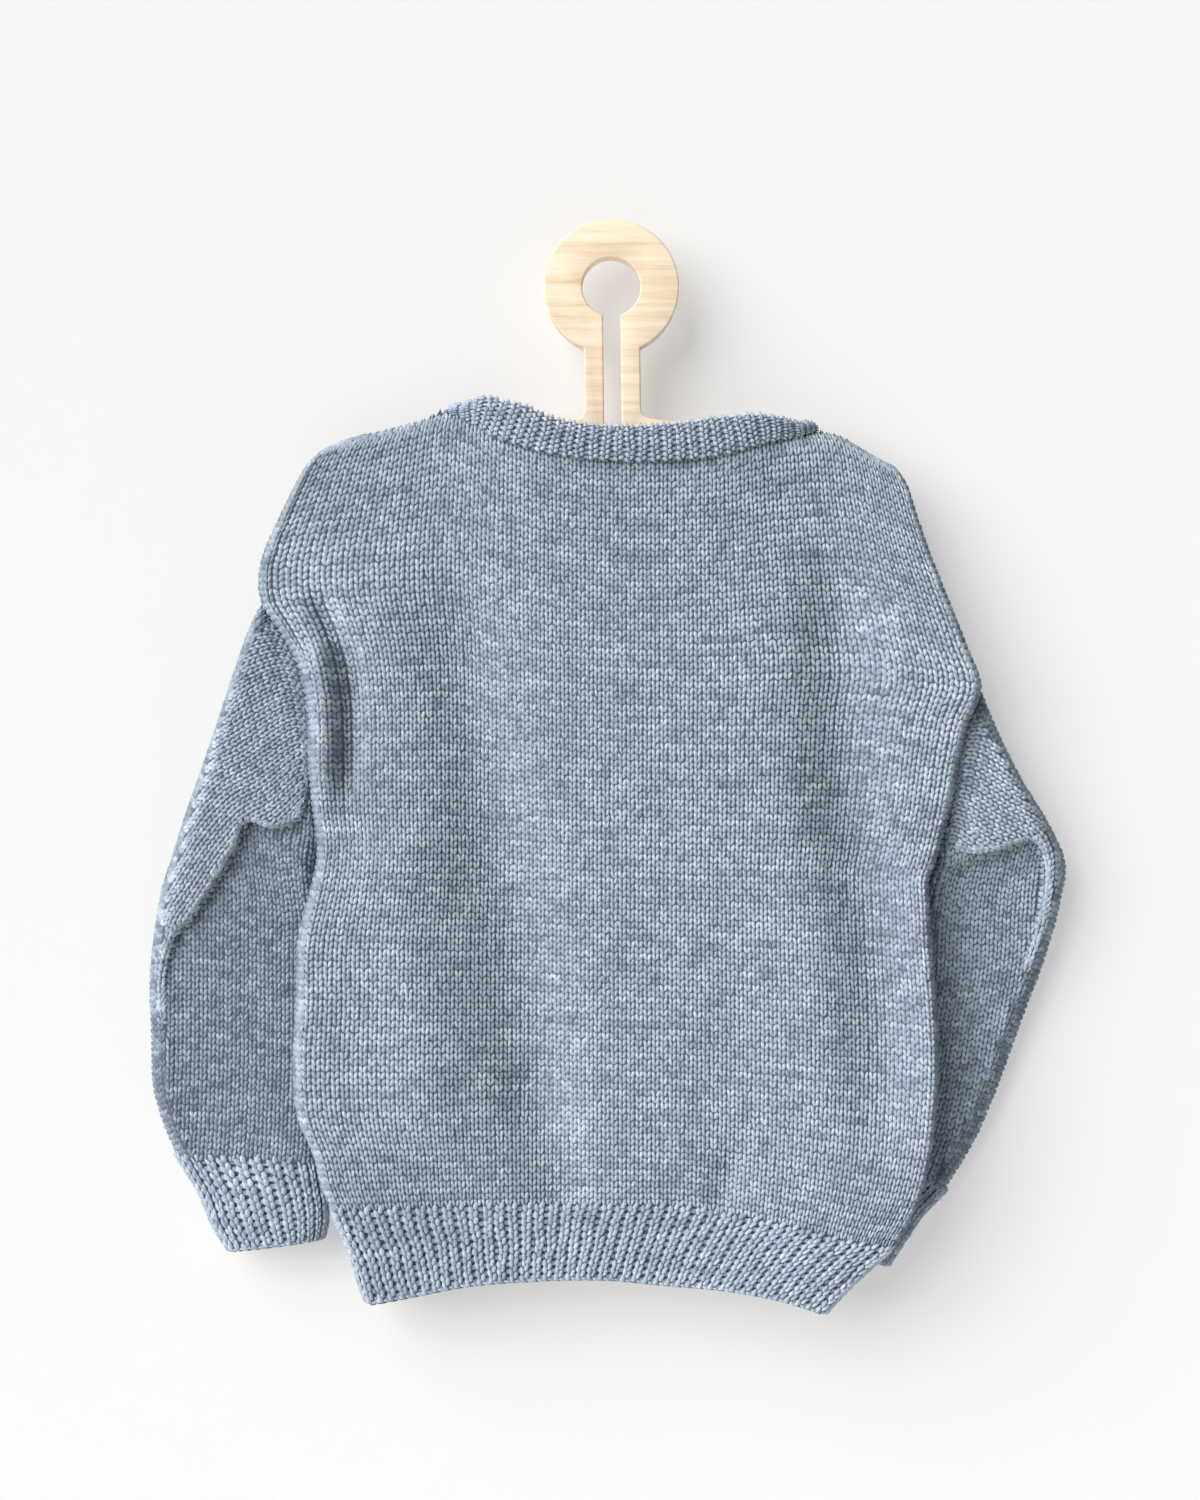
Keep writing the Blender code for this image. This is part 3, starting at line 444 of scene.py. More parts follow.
def folds(rows, x, z):
    """Depth of the listed folds: a bell across each path, faded at its two ends."""
    total = np.zeros_like(x)
    for width, depth, path in rows:
        best = np.full_like(x, 1e9)
        share = np.zeros_like(x)
        knots = lengths(path)
        for (ax, az), (bx, bz), k0, k1 in zip(path[:-1], path[1:], knots[:-1], knots[1:]):
            along = ((x - ax) * (bx - ax) + (z - az) * (bz - az)) / ((bx - ax) ** 2 + (bz - az) ** 2)
            along = np.clip(along, 0, 1)
            away = np.hypot(x - ax - along * (bx - ax), z - az - along * (bz - az))
            closer = away < best
            best = np.where(closer, away, best)
            share = np.where(closer, k0 + along * (k1 - k0), share)
        ends = np.clip(np.minimum(share, 1 - share) / FOLD_FADE, 0, 1)
        total += depth * np.exp(-(best / width) ** 2) * (0.15 + 0.85 * smooth(ends))
    return total


def armhole_share(knots, armhole, t):
    """Openness of the side edge along the armhole, zero at both ends."""
    start = knots[armhole[0]]
    end = knots[armhole[1]]
    f = np.clip((t - start) / (end - start), 0, 1)
    return ARMHOLE_OPEN * np.sin(math.pi * f) ** 0.7


def depth_at(x, z, near):
    """Distance of a panel from the middle before folds, and the side rounding."""
    row = table(DEPTHS[::-1], z)
    full = np.exp(-((x - NECK_FULL_AT[0]) / NECK_FULL_SIZE[0]) ** 4)
    full = full * np.exp(-((z - NECK_FULL_AT[1]) / NECK_FULL_SIZE[1]) ** 2)
    return row[..., 0 if near else 1] + NECK_FULLNESS * full, row[..., 2]


def middle_at(z, to_left, to_right):
    """Middle surface of the body: its sides come forward over the sleeves."""
    lift = table(SIDE_LIFT[::-1], z)
    left = np.clip(1 - to_left / LEFT_LIFT_REACH, 0, 1)
    right = np.clip(1 - to_right / RIGHT_LIFT_REACH, 0, 1)
    return -lift[..., 0] * smooth(left) - lift[..., 1] * smooth(right)


def straight(left, right, x):
    """Height at x of the straight line between two points of x and z."""
    left = np.asarray(left)
    right = np.asarray(right)
    share = (x - left[..., 0]) / (right[..., 0] - left[..., 0])
    return left[..., 1] * (1 - share) + right[..., 1] * share


def panel(x, z, left_x, right_x, opened, shoulder, near):
    """Outer face of a panel at x and z, between its side lines.

    y is the middle surface, plus the depth table times the rise of the rounded sides and the
    shoulder, plus the folds times the same rise."""
    depth, rounding = depth_at(x, z, near)
    to_left = x - left_x
    to_right = right_x - x
    rise = quarter(np.minimum(to_left, to_right), rounding * SIDE_TIGHTNESS, opened) * shoulder
    sign = -1 if near else 1
    fold = folds(BACK_FOLDS if near else FRONT_FOLDS, x, z)
    y = middle_at(z, to_left, to_right) + sign * (HALF_GAP + depth * rise) + fold * rise
    return np.stack([x, y, z], axis=-1)


def body(s, t, near):
    """Outer face of the back or front: s runs across from side to side, t from shoulder to hem.

    x spreads evenly in the middle and fans to the side lines, and z follows the sides with the
    top edge and hem line blended in."""
    left_knots = lengths(LEFT_SIDE)
    right_knots = lengths(RIGHT_SIDE)
    left = through(left_knots, LEFT_SIDE, t)
    right = through(right_knots, RIGHT_SIDE, t)
    size = np.abs(s)

    def spread(left_x, right_x):
        reach = np.where(s < 0, CENTRE_X - left_x, right_x - CENTRE_X)
        return CENTRE_X + np.sign(s) * (size * EVEN_HALF_WIDTH + size ** 3 * (reach - EVEN_HALF_WIDTH))

    x = spread(left[..., 0], right[..., 0])
    top_x = spread(LEFT_SIDE[0][0], RIGHT_SIDE[0][0])
    foot_x = spread(LEFT_SIDE[-1][0], RIGHT_SIDE[-1][0])
    top = table(BACK_TOP if near else FRONT_TOP, top_x)
    top_line = straight(LEFT_SIDE[0], RIGHT_SIDE[0], top_x)
    foot_line = straight(LEFT_SIDE[-1], RIGHT_SIDE[-1], foot_x)
    z = straight(left, right, x) + (1 - t) ** 3 * (top[..., 0] - top_line)
    z = z + t ** 4 * (table(HEM_LINE, foot_x)[..., 0] - foot_line)
    opened = np.where(s < 0, armhole_share(left_knots, LEFT_ARMHOLE, t),
                      armhole_share(right_knots, RIGHT_ARMHOLE, t))
    shoulder = quarter(top[..., 0] - z, SHOULDER_ROUNDING, top[..., 1])
    return panel(x, z, left[..., 0], right[..., 0], opened, shoulder, near)


def body_edge(t, near):
    """Points along the body's top or foot, close together."""
    s = np.linspace(-1, 1, 241)
    return body(s, np.full_like(s, t), near)


def hem(s, t, near):
    """Outer face of the hem rib: a blend from the body's foot to the rib's own lower edge."""
    left = through(lengths(HEM_LEFT), HEM_LEFT, t)
    right = through(lengths(HEM_RIGHT), HEM_RIGHT, t)
    share = (s + 1) / 2
    x = left[..., 0] * (1 - share) + right[..., 0] * share
    top_x = HEM_LEFT[0][0] * (1 - share) + HEM_RIGHT[0][0] * share
    foot_x = HEM_LEFT[-1][0] * (1 - share) + HEM_RIGHT[-1][0] * share
    seam = HEM_SEAMS[near]
    top_line = np.interp(top_x, seam[:, 0], seam[:, 2]) - SEAM_GAP
    foot_line = table(HEM_FOOT, foot_x)[..., 0]
    if not near:
        foot_line = foot_line - FRONT_HEM_DROP * np.exp(
            -((foot_x - FRONT_HEM_DROP_X) / FRONT_HEM_DROP_WIDTH) ** 2)
    z = top_line * (1 - t) + foot_line * t
    return panel(x, z, left[..., 0], right[..., 0], 0.0, 1.0, near)


HEM_SEAMS = {near: body_edge(1.0, near) for near in (True, False)}


class Sleeve:
    """One sleeve: its table, its armhole on the body, and the side it is on."""

    def __init__(self, rows, side, armhole, sign):
        self.rows = np.asarray(rows, float)
        self.knots = 0.5 * lengths(self.rows[:, 2:4]) + 0.5 * lengths(self.rows[:, 0:2])
        self.side_knots = lengths(side)
        self.armhole = armhole
        self.sign = sign
        outer, fold, inner = self.rows[0, 0:2], self.rows[0, 2:4], self.rows[0, 4:6]
        upper = math.dist(outer, fold)
        self.fold_share = upper / (upper + math.dist(fold, inner))

    def row(self, along):
        """The table read at a share of the way from the armhole to the cuff."""
        return through(self.knots, self.rows, along)

    def edge(self, share, near):
        """Points on the body's own armhole edge, from its top to the underarm."""
        start, end = (self.side_knots[i] for i in self.armhole)
        t = start + share * (end - start)
        return body(np.full_like(t, float(self.sign)), t, near)

    def __call__(self, across, along, near):
        """Outer face: across runs from the outer edge over the fold to the inner edge.

        The upper layer stands a step above the lower one and rounds down at the fold's edge.
        Near the armhole the section turns into the body's armhole edge."""
        row = self.row(along)
        first = np.clip(across / FOLD_AT, 0, 1)[..., None]
        second = np.clip((across - FOLD_AT) / (1 - FOLD_AT), 0, 1)[..., None]
        plan = np.where(across[..., None] < FOLD_AT,
                        row[..., 0:2] * (1 - first) + row[..., 2:4] * first,
                        row[..., 2:4] * (1 - second) + row[..., 4:6] * second)
        length = np.hypot(row[..., 4] - row[..., 0], row[..., 5] - row[..., 1])
        distance = np.minimum(np.hypot(plan[..., 0] - row[..., 0], plan[..., 1] - row[..., 1]),
                              np.hypot(plan[..., 0] - row[..., 4], plan[..., 1] - row[..., 5]))
        rise = quarter(distance, np.minimum(SLEEVE_ROUNDING, length / 3), 0.0 * distance)
        if near:
            from_fold = np.hypot(plan[..., 0] - row[..., 2], plan[..., 1] - row[..., 3])
            high = np.where(across < FOLD_AT, quarter(from_fold, FOLD_ROUNDING, 0.0 * from_fold), 0.0)
            y = row[..., 7] - row[..., 8] * rise - row[..., 6] * high * rise
        else:
            y = row[..., 7] + row[..., 8] * rise * 0.8
        points = np.stack([plan[..., 0], y, plan[..., 1]], axis=-1)
        share = first[..., 0] * self.fold_share + second[..., 0] * (1 - self.fold_share)
        edge = self.edge(share, near)
        at_end = (across <= 0) | (across >= 1)
        other = self.edge(share, not near)
        edge[..., 1] = np.where(at_end, (edge[..., 1] + other[..., 1]) / 2, edge[..., 1])
        edge[..., 0] += self.sign * SEAM_GAP * 2
        fade = np.clip(1 - along / self.knots[2], 0, 1)[..., None] ** 1.5
        return points * (1 - fade) + edge * fade


def cuff_surface(rows):
    """Function for a cuff: a flattened ring at each share of its length."""
    rows = np.asarray(rows, float)
    knots = lengths(rows[:, 0:2])

    def surface(angle, step):
        row = through(knots, rows, step)
        first = through(knots, rows, np.full_like(step, 0.05))
        row = row + np.minimum(step, 0)[..., None] * (first - rows[0]) / 0.05
        share = (1 - np.cos(angle)) / 2
        flat = np.abs(np.sin(angle)) ** 0.6 * np.sign(np.sin(angle))
        x = row[..., 0] * (1 - share) + row[..., 2] * share
        z = row[..., 1] * (1 - share) + row[..., 3] * share
        return np.stack([x, row[..., 4] - row[..., 5] * flat, z], axis=-1)

    return surface


def neckline(rows, near):
    """Middle of the band along one neckline, its lower edge laid over the body's own edge."""
    seam = body_edge(0.0, near)
    rows = np.asarray(rows, float)
    share = np.linspace(0, 1, NECKLINE_STEPS)
    order = np.linspace(0, 1, len(rows))
    x = np.interp(share, order, rows[:, 0])
    height = np.interp(share, order, rows[:, 1]) + NECK_OVERLAP + NECK_RISE
    base = np.stack([x, np.interp(x, seam[:, 0], seam[:, 1]), np.interp(x, seam[:, 0], seam[:, 2])], axis=-1)
    ahead = np.gradient(base, axis=0)
    up = np.stack([-ahead[:, 2], 0 * x, ahead[:, 0]], axis=-1)
    up = unit(up * np.sign(up[:, 2:3]))
    middle = base + up * (height / 2 - NECK_OVERLAP)[:, None]
    middle[:, 1] += NECKBAND_SET_BACK if near else 0.0
    return np.column_stack([middle, height])


BACK_BAND = neckline(NECK_BACK, True)
BAND_ROWS = np.vstack([BACK_BAND, NECK_RIGHT_TURN, neckline(NECK_FRONT, False), NECK_LEFT_TURN,
                       BACK_BAND[:1]])
BAND_RUN = run_of(BAND_ROWS[:, :3])
BAND_KNOTS = BAND_RUN / BAND_RUN[-1]


def neckband(turn, angle, relief=0.0):
    """Folded band: turn runs once round the neck, angle once round the band's rounded section."""
    def path(at):
        return through(BAND_KNOTS, BAND_ROWS, at % 1.0)

    row = path(turn)
    reach = 1 / NECK_RIBS
    ahead = unit(path(turn + reach)[..., :3] - path(turn - reach)[..., :3])
    up = unit(np.array([0.0, 0.0, 1.0]) - ahead[..., 2:3] * ahead)
    out = np.cross(ahead, up)
    cosine = np.cos(angle)
    sine = np.sin(angle)
    side = NECKBAND_THICKNESS / 2 * np.sign(cosine) * np.abs(cosine) ** 0.5 + relief * cosine
    height = row[..., 3] / 2 * np.sign(sine) * np.abs(sine) ** 0.8 + relief * sine
    return row[..., :3] + out * side[..., None] + up * height[..., None]


def grid_faces(rows, columns, ring_rows=False, ring_columns=False, start=0):
    """Quads of a grid of points, closed round either way if asked."""
    r = np.arange(rows if ring_rows else rows - 1)[:, None]
    c = np.arange(columns if ring_columns else columns - 1)[None, :]
    below = (r + 1) % rows
    beside = (c + 1) % columns
    corners = [r * columns + c, r * columns + beside, below * columns + beside, below * columns + c]
    return start + np.stack(np.broadcast_arrays(*corners), axis=-1).reshape(-1, 4)


def grid_normals(points, ring_columns=False):
    """Unit normals of a grid: the cross product of its steps along columns and rows."""
    if ring_columns:
        across = np.roll(points, -1, axis=1) - np.roll(points, 1, axis=1)
    else:
        across = np.gradient(points, axis=1)
    return unit(np.cross(across, np.gradient(points, axis=0)))


def make_piece(name, points, faces, finish, smooth=True):
    """Mesh object from whole arrays of points in millimetres and equal-sided faces."""
    mesh = bpy.data.meshes.new(name)
    points = np.asarray(points, float).reshape(-1, 3) * MM
    faces = np.asarray(faces)
    mesh.vertices.add(len(points))
    mesh.vertices.foreach_set("co", points.ravel())
    mesh.loops.add(faces.size)
    mesh.loops.foreach_set("vertex_index", faces.ravel())
    mesh.polygons.add(len(faces))
    mesh.polygons.foreach_set("loop_start", np.arange(0, faces.size, faces.shape[1]))
    mesh.update(calc_edges=True)
    mesh.validate()
    if smooth:
        mesh.shade_smooth()
    mesh.materials.append(finish)
    piece = bpy.data.objects.new(name, mesh)
    bpy.context.scene.collection.objects.link(piece)
    return piece


def ground(name, outer, outward, finish, sink=GROUND_SINK, wall=GROUND_WALL, ring=False, relief=0.0):
    """Closed shell under the stitches: the outer face sunk along its normals, a second face a wall
    further in, and quads that close every open edge."""
    rows, columns = outer.shape[:2]
    n = grid_normals(outer, ring)
    turned = (n * outward).sum() < 0
    n = -n if turned else n
    face = outer + n * (relief - sink)
    points = np.concatenate([face.reshape(-1, 3), (outer - n * (sink + wall)).reshape(-1, 3)])
    offset = rows * columns
    quads = grid_faces(rows, columns, ring_columns=ring)
    c = np.arange(columns if ring else columns - 1)
    d = (c + 1) % columns
    last = (rows - 1) * columns
    parts = [quads, offset + quads[:, ::-1], np.stack([d, c, offset + c, offset + d], axis=-1),
             np.stack([last + c, last + d, offset + last + d, offset + last + c], axis=-1)]
    if not ring:
        a = np.arange(rows - 1) * columns
        b = a + columns
        parts.append(np.stack([a, b, offset + b, offset + a], axis=-1))
        e = columns - 1
        parts.append(np.stack([b + e, a + e, offset + a + e, offset + b + e], axis=-1))
    faces = np.concatenate(parts)
    return make_piece(name, points, faces[:, ::-1] if turned else faces, finish)


def leg_shape(side, column=COLUMN, row=ROW, foot=0.08, head=0.40, top=1.28, half=0.88, crest=0.78):
    """One leg of a stitch as a pointed spindle in columns, rows and millimetres of height.

    Its middle line leans from the foot near the column's middle to the head near its edge, two
    rings of three points give its width and rounded crest, and both tips dive into the ground."""
    start = np.array([foot * column, -0.06 * row])
    end = np.array([head * column, top * row])
    axis = end - start
    across = np.array([axis[1], -axis[0]]) / np.hypot(*axis)
    points = [(*start, -1.1)]
    for share, wide, high in ((0.27, 0.9 * half, 0.82 * crest), (0.68, half, crest)):
        centre = start + axis * share
        for offset, height in ((-wide, -0.85), (0.0, high), (wide, -0.85)):
            points.append((*(centre + across * offset), height))
    points.append((*end, -0.95))
    shape = np.array(points)
    shape[:, 0] *= side / column
    shape[:, 1] /= row
    return shape


def fibre_shape(length=1.9, width=0.045, lift=1.5):
    """A stray fibre in the same eight points: a thin spindle that lifts off the cloth along a curve."""
    points = [(0.0, 0.0, 0.3)]
    for share in (0.4, 0.75):
        along = length * share
        height = 0.3 + lift * math.sin(share * math.pi / 2)
        for offset, extra in ((-width, -width), (0.0, width), (width, -width)):
            points.append((offset, along, height + extra))
    points.append((0.0, length, 0.3 + lift))
    return np.array(points) / (1.0, ROW, 1.0)


LEG_FACES = np.array([(0, 3, 2), (0, 2, 1), (1, 2, 5), (1, 5, 4), (2, 3, 6), (2, 6, 5), (4, 5, 7), (5, 6, 7)])
LEG_ALONG = np.array([0.0, 0.27, 0.27, 0.27, 0.68, 0.68, 0.68, 1.0])
LEG_ACROSS = np.array([0.0, -1.0, 0.0, 1.0, -1.0, 0.0, 1.0, 0.0])


class Stitches:
    """Gathers yarn legs for one piece and makes them one mesh."""

    def __init__(self, seed):
        self.random = np.random.default_rng(seed)
        self.points = []
        self.faces = []
        self.marks = []
        self.count = 0

    def streaks(self, rows, columns):
        """Tones that keep to the yarn: smooth runs along each row with some scatter."""
        runs = self.random.normal(0, 1, (rows, columns))
        for _ in range(5):
            runs = (runs + np.roll(runs, 1, axis=1)) / 2
        return 0.65 * runs / runs.std() + 0.75 * self.random.normal(0, 1, (rows, columns))

    def place(self, shape, turned, at, column, row, outward, tone):
        """Set one leg shape at every point: column and row are the cloth's own steps there."""
        facing = (np.cross(column, row) * outward).sum(axis=-1, keepdims=True)
        column = np.where(facing < 0, -column, column)
        n = unit(np.cross(column, row))
        many = len(at)
        wobble = self.random.normal(0, 1, (many, 5, 1))
        u = shape[None, :, 0] * (1 + 0.05 * wobble[:, 0]) + 0.022 * wobble[:, 1]
        v = shape[None, :, 1] + 0.05 * wobble[:, 2]
        h = shape[None, :, 2] + 0.09 * wobble[:, 3]
        points = (at[:, None, :] + column[:, None, :] * u[..., None] + row[:, None, :] * v[..., None]
                  + n[:, None, :] * h[..., None])
        faces = LEG_FACES[:, ::-1] if turned else LEG_FACES
        start = self.count + np.arange(many)[:, None, None] * len(shape)
        tone = np.clip(0.5 + 0.2 * tone[:, None] + 0.1 * wobble[:, 4], DARKEST_TONE, 1)
        tone = np.repeat(tone, len(shape), axis=1)
        marks = np.stack([tone, np.broadcast_to(LEG_ALONG, tone.shape),
                          np.broadcast_to(LEG_ACROSS, tone.shape)], axis=-1)
        self.points.append(points.reshape(-1, 3))
        self.faces.append((faces[None] + start).reshape(-1, 3))
        self.marks.append(marks.reshape(-1, 3))
        self.count += many * len(shape)

    def fuzz(self, share, at, column, row, outward):
        """Stray fibres on a share of the stitches, each turned its own way."""
        pick = self.random.random(len(at)) < share
        turn = self.random.uniform(0, 2 * math.pi, (pick.sum(), 1))
        column = unit(column[pick])
        row = unit(row[pick])
        side = column * np.cos(turn) + row * np.sin(turn)
        ahead = (row * np.cos(turn) - column * np.sin(turn)) * ROW
        outward = np.broadcast_to(outward, at.shape)[pick]
        self.place(fibre_shape(), False, at[pick], side, ahead, outward, np.full(len(side), 1.2))

    def knit(self, at, column, row, outward, tone, **shape):
        """Both legs of a plain stitch at every point."""
        self.place(leg_shape(1, **shape), False, at, column, row, outward, tone)
        self.place(leg_shape(-1, **shape), True, at, column, row, outward, tone)

    def piece(self, name, finish):
        """The gathered legs as one object, each leg with its own place on the map."""
        points = np.concatenate(self.points)
        faces = np.concatenate(self.faces)
        marks = np.concatenate(self.marks)
        made = make_piece(name, points, faces, finish)
        attribute = made.data.attributes.new("stitch", "FLOAT_VECTOR", "POINT")
        attribute.data.foreach_set("vector", marks.astype(np.float32).ravel())
        legs = len(points) // len(LEG_ALONG)
        side = math.ceil(math.sqrt(legs))
        leg = np.repeat(np.arange(legs), len(LEG_ALONG))
        u = (leg % side + 0.5 + 0.42 * marks[:, 2]) / side
        v = (leg // side + 0.06 + 0.88 * marks[:, 1]) / side
        corners = np.stack([u, v], axis=-1)[faces.ravel()]
        layer = made.data.uv_layers.new(name="OFBake")
        layer.data.foreach_set("uv", corners.astype(np.float32).ravel())
        return made


def even(path, pitch):
    """Parameters in 0 to 1 that lie a pitch apart along a path given as fine points."""
    total = run_of(path)
    count = max(1, round(total[-1] / pitch))
    where = np.arange(-1, 2 * count + 2) / (2 * count) * total[-1]
    return np.interp(where, total, np.linspace(0, 1, len(path))), count


def body_stitches(near, seed, finish):
    """Plain stitches over the back or front: even columns across the chest, even rows down the middle."""
    fine = np.linspace(0, 1, 1201)
    across, columns = even(body(2 * fine - 1, np.full_like(fine, 0.6), near), COLUMN)
    down, rows = even(body(np.zeros_like(fine), fine, near), ROW)
    c = 2 * across - 1
    k = 2 * np.arange(columns) + 2
    j = 2 * np.arange(rows) + 2
    k, j = (a.ravel() for a in np.meshgrid(k, j))
    at = body(c[k], down[j + 1], near)
    column = body(c[k + 1], down[j], near) - body(c[k - 1], down[j], near)
    row = body(c[k], down[j - 1], near) - body(c[k], down[j + 1], near)
    made = Stitches(seed)
    outward = side_of(near)
    # Painted shade: the tone drops where the cloth turns to face sideways
    aside = np.abs(unit(np.cross(column, row))[:, 0])
    tone = made.streaks(rows, columns).ravel() - SIDE_PAINTED_SHADE * aside ** 3
    # Painted shade and painted light in broad places of the back
    if near:
        for amount, x, z, wide, high in BACK_PAINTED_LIGHT_AND_SHADE:
            tone += amount * np.exp(-((at[:, 0] - x) / wide) ** 2 - ((at[:, 2] - z) / high) ** 2)
    made.knit(at, column, row, outward, tone)
    made.fuzz(BODY_FUZZ, at, column, row, outward)
    return made.piece("back_stitches" if near else "front_stitches", finish)


def body_ground(near, finish):
    """Ground cloth of the back or front."""
    s = np.sin(np.linspace(-1, 1, 111) * 1.35) / math.sin(1.35)
    t = np.linspace(0, 1, 141)
    s, t = np.meshgrid(s, t)
    return ground("back_cloth" if near else "front_cloth", body(s, t, near), side_of(near), finish)


def wale(made, surface, along, across, keep, near, tones):
    """Stitches along one column of a sleeve: a line of points, kept where it lies on the cloth."""
    line = surface(across, along, near)
    total = run_of(line)
    count = int(total[-1] / ROW)
    if count < 1:
        return
    where = (np.arange(count) + 0.5) * ROW
    t = np.interp(where, total, along)
    c = np.interp(where, total, across)
    kept = np.interp(where, total, keep.astype(float)) > 0.5
    if not kept.any():
        return
    t = t[kept]
    c = c[kept]
    at = np.stack([np.interp(where[kept] + ROW / 2, total, line[:, i]) for i in range(3)], axis=-1)
    back = np.stack([np.interp(where[kept] - ROW / 2, total, line[:, i]) for i in range(3)], axis=-1)
    row = ROW * unit(back - at)
    step = 0.004
    side = surface(np.clip(c + step, 0, 1), t, near) - surface(np.clip(c - step, 0, 1), t, near)
    side -= (side * row).sum(axis=-1, keepdims=True) / ROW ** 2 * row
    side = COLUMN * unit(side)
    outward = side_of(near)
    # Painted shade on the sleeve beside the armhole and along its inner edge beside the body
    beside = ARMHOLE_PAINTED_SHADE * np.exp(-(t / ARMHOLE_REACH) ** 2)
    beside += INNER_PAINTED_SHADE * np.exp(-((1 - c) / INNER_REACH) ** 2)
    made.knit(at, side, row, outward, tones[(t * (len(tones) - 1)).astype(int)] - beside)
    made.fuzz(SLEEVE_FUZZ, at, side, row, outward)


def from_outer(surface, along, near, away):
    """Share across a sleeve at real distances from its outer edge: the running length of each
    section is read backward, and a distance past the inner edge gives 2."""
    grid = np.linspace(0, 1, 240) ** 2
    c, t = np.meshgrid(grid, along)
    steps = np.linalg.norm(np.diff(surface(c, t, near), axis=1), axis=-1)
    total = np.concatenate([np.zeros((len(along), 1)), np.cumsum(steps, axis=1)], axis=1)
    return np.array([np.interp(away, line, grid, right=2.0) for line in total]).T


def sleeve_stitches(name, surface, seed, finish):
    """Stitches of a sleeve in its fields.

    One column rolls over the edge of the fold, and EDGE_COLUMNS follow the outer edge in painted
    shade. The upper layer's columns are parallel curves that cross its sections at right angles:
    their distance from the fold's edge changes by the edge's own slip along the section. The lower
    layer's columns lie deeper, darkened with painted shade; they keep their distance from the inner
    edge and run on across where the fold has flattened out; one more is tucked under the fold.
    The far side's columns keep their distance from the outer edge."""
    made = Stitches(seed)
    along = np.linspace(0, 1, 700)
    row = surface.row(along)
    section = row[:, 0:2] - row[:, 2:4]
    upper = np.hypot(*section.T)
    section /= upper[:, None]
    slip = running(-(np.diff(row[:, 2:4], axis=0) * (section[:-1] + section[1:]) / 2).sum(axis=1))
    lower = np.abs(row[:, 4] - row[:, 2])
    lower_length = np.hypot(row[:, 4] - row[:, 2], row[:, 5] - row[:, 3])
    stepped = row[:, 6] > FOLD_ENDS
    stepped[along < surface.knots[1]] = True
    tones = made.streaks(120, 160)
    rim = FOLD_AT * (1 - 0.45 * COLUMN / upper)
    rolled = stepped & (along > surface.knots[1])
    wale(made, surface, along, np.clip(rim, 0, FOLD_AT - 1e-4), rolled, True, tones[:, 20])
    # Painted shade under the fold, by side: steps of tone taken off the lower layer
    shade = LOWER_PAINTED_SHADE[surface.sign]
    edge = from_outer(surface, along, True, (np.arange(EDGE_COLUMNS + 1) + 0.5) * COLUMN)
    down = np.linspace(0, 1, len(tones))
    # Painted shade on the outer edge's columns, with the lower layer's painted shade added where the fold has
    # flattened out
    edge_painted_shade = np.interp(down, along, np.where(stepped, 0.0, shade)) + EDGE_PAINTED_SHADE
    everywhere = np.ones(len(along), bool)
    for k in range(EDGE_COLUMNS):
        wale(made, surface, along, edge[k], everywhere, True, tones[:, k + 10] - edge_painted_shade)
    clear = edge[EDGE_COLUMNS - 1] * 0.55 + edge[EDGE_COLUMNS] * 0.45
    first = math.floor(-slip.max() / COLUMN) - 1
    for k in range(first, int((upper - slip).max() / COLUMN) + 2):
        away = (k + 0.5) * COLUMN + slip
        inside = (away > 0.25 * COLUMN) & (away < upper) & stepped
        across = FOLD_AT * (1 - away / upper)
        inside &= across > clear
        wale(made, surface, along, np.clip(across, 0, FOLD_AT - 1e-4), inside, True, tones[:, k + 60])
    for k in range(int((lower + np.abs(section[:, 0]) * upper).max() / COLUMN) + 1):
        away = (k + 0.5) * COLUMN
        past = (away - lower) / np.maximum(np.abs(row[:, 0] - row[:, 2]), 1e-3)
        across = np.where(away < lower, 1 - (1 - FOLD_AT) * away / np.maximum(lower, 1e-3),
                          FOLD_AT * (1 - past))
        tucked = stepped & (away > lower) & (away < lower + 0.6 * COLUMN)
        across = np.where(tucked, FOLD_AT + 1e-3, across)
        inside = (away < lower) | tucked | (~stepped & (across > clear))
        # The lower layer's columns are darkened with painted shade
        wale(made, surface, along, np.clip(across, 0, 1), inside, True, tones[:, k + 100] - shade)
    # The column along the inner edge, darkened with painted shade
    wale(made, surface, along, np.full_like(along, 0.996), everywhere, True, tones[:, 99] - shade)
    many = int((upper + lower_length).max() / COLUMN) + 8
    for k, across in enumerate(from_outer(surface, along, False, (np.arange(many) + 0.5) * COLUMN)):
        wale(made, surface, along, np.clip(across, 0, 1), across < 1.0, False, tones[:, k])
    return made.piece(name, finish)


def sleeve_ground(name, surface, finish):
    """Ground cloth of a sleeve, one ring of points at each step, dense at the fold's edge."""
    u = np.linspace(0, 1, 24)
    near = np.concatenate([FOLD_AT * (1 - (1 - u) ** 2.2)[:-1], FOLD_AT + (1 - FOLD_AT) * u ** 1.3])
    near = np.unique(np.concatenate([near, [0.004, 0.012, 0.025, 0.99, 0.975]]))
    far = 0.5 - 0.5 * np.cos(np.linspace(0, math.pi, 32)[1:-1])
    along = np.linspace(0, 1, 96)
    c, t = np.meshgrid(near, along)
    first = surface(c, t, True)
    c, t = np.meshgrid(far[::-1], along)
    second = surface(c, t, False)
    outer = np.concatenate([first, second], axis=1)
    outward = outer - outer.mean(axis=1, keepdims=True)
    return ground(name, outer, outward, finish, ring=True)


def rib_relief(phase):
    """Height of a rib: a rounded crest at whole numbers of phase and a sharp valley between."""
    return RIB_RELIEF * 2.0 * (np.abs(np.cos(math.pi * phase)) ** 0.8 - 0.6)


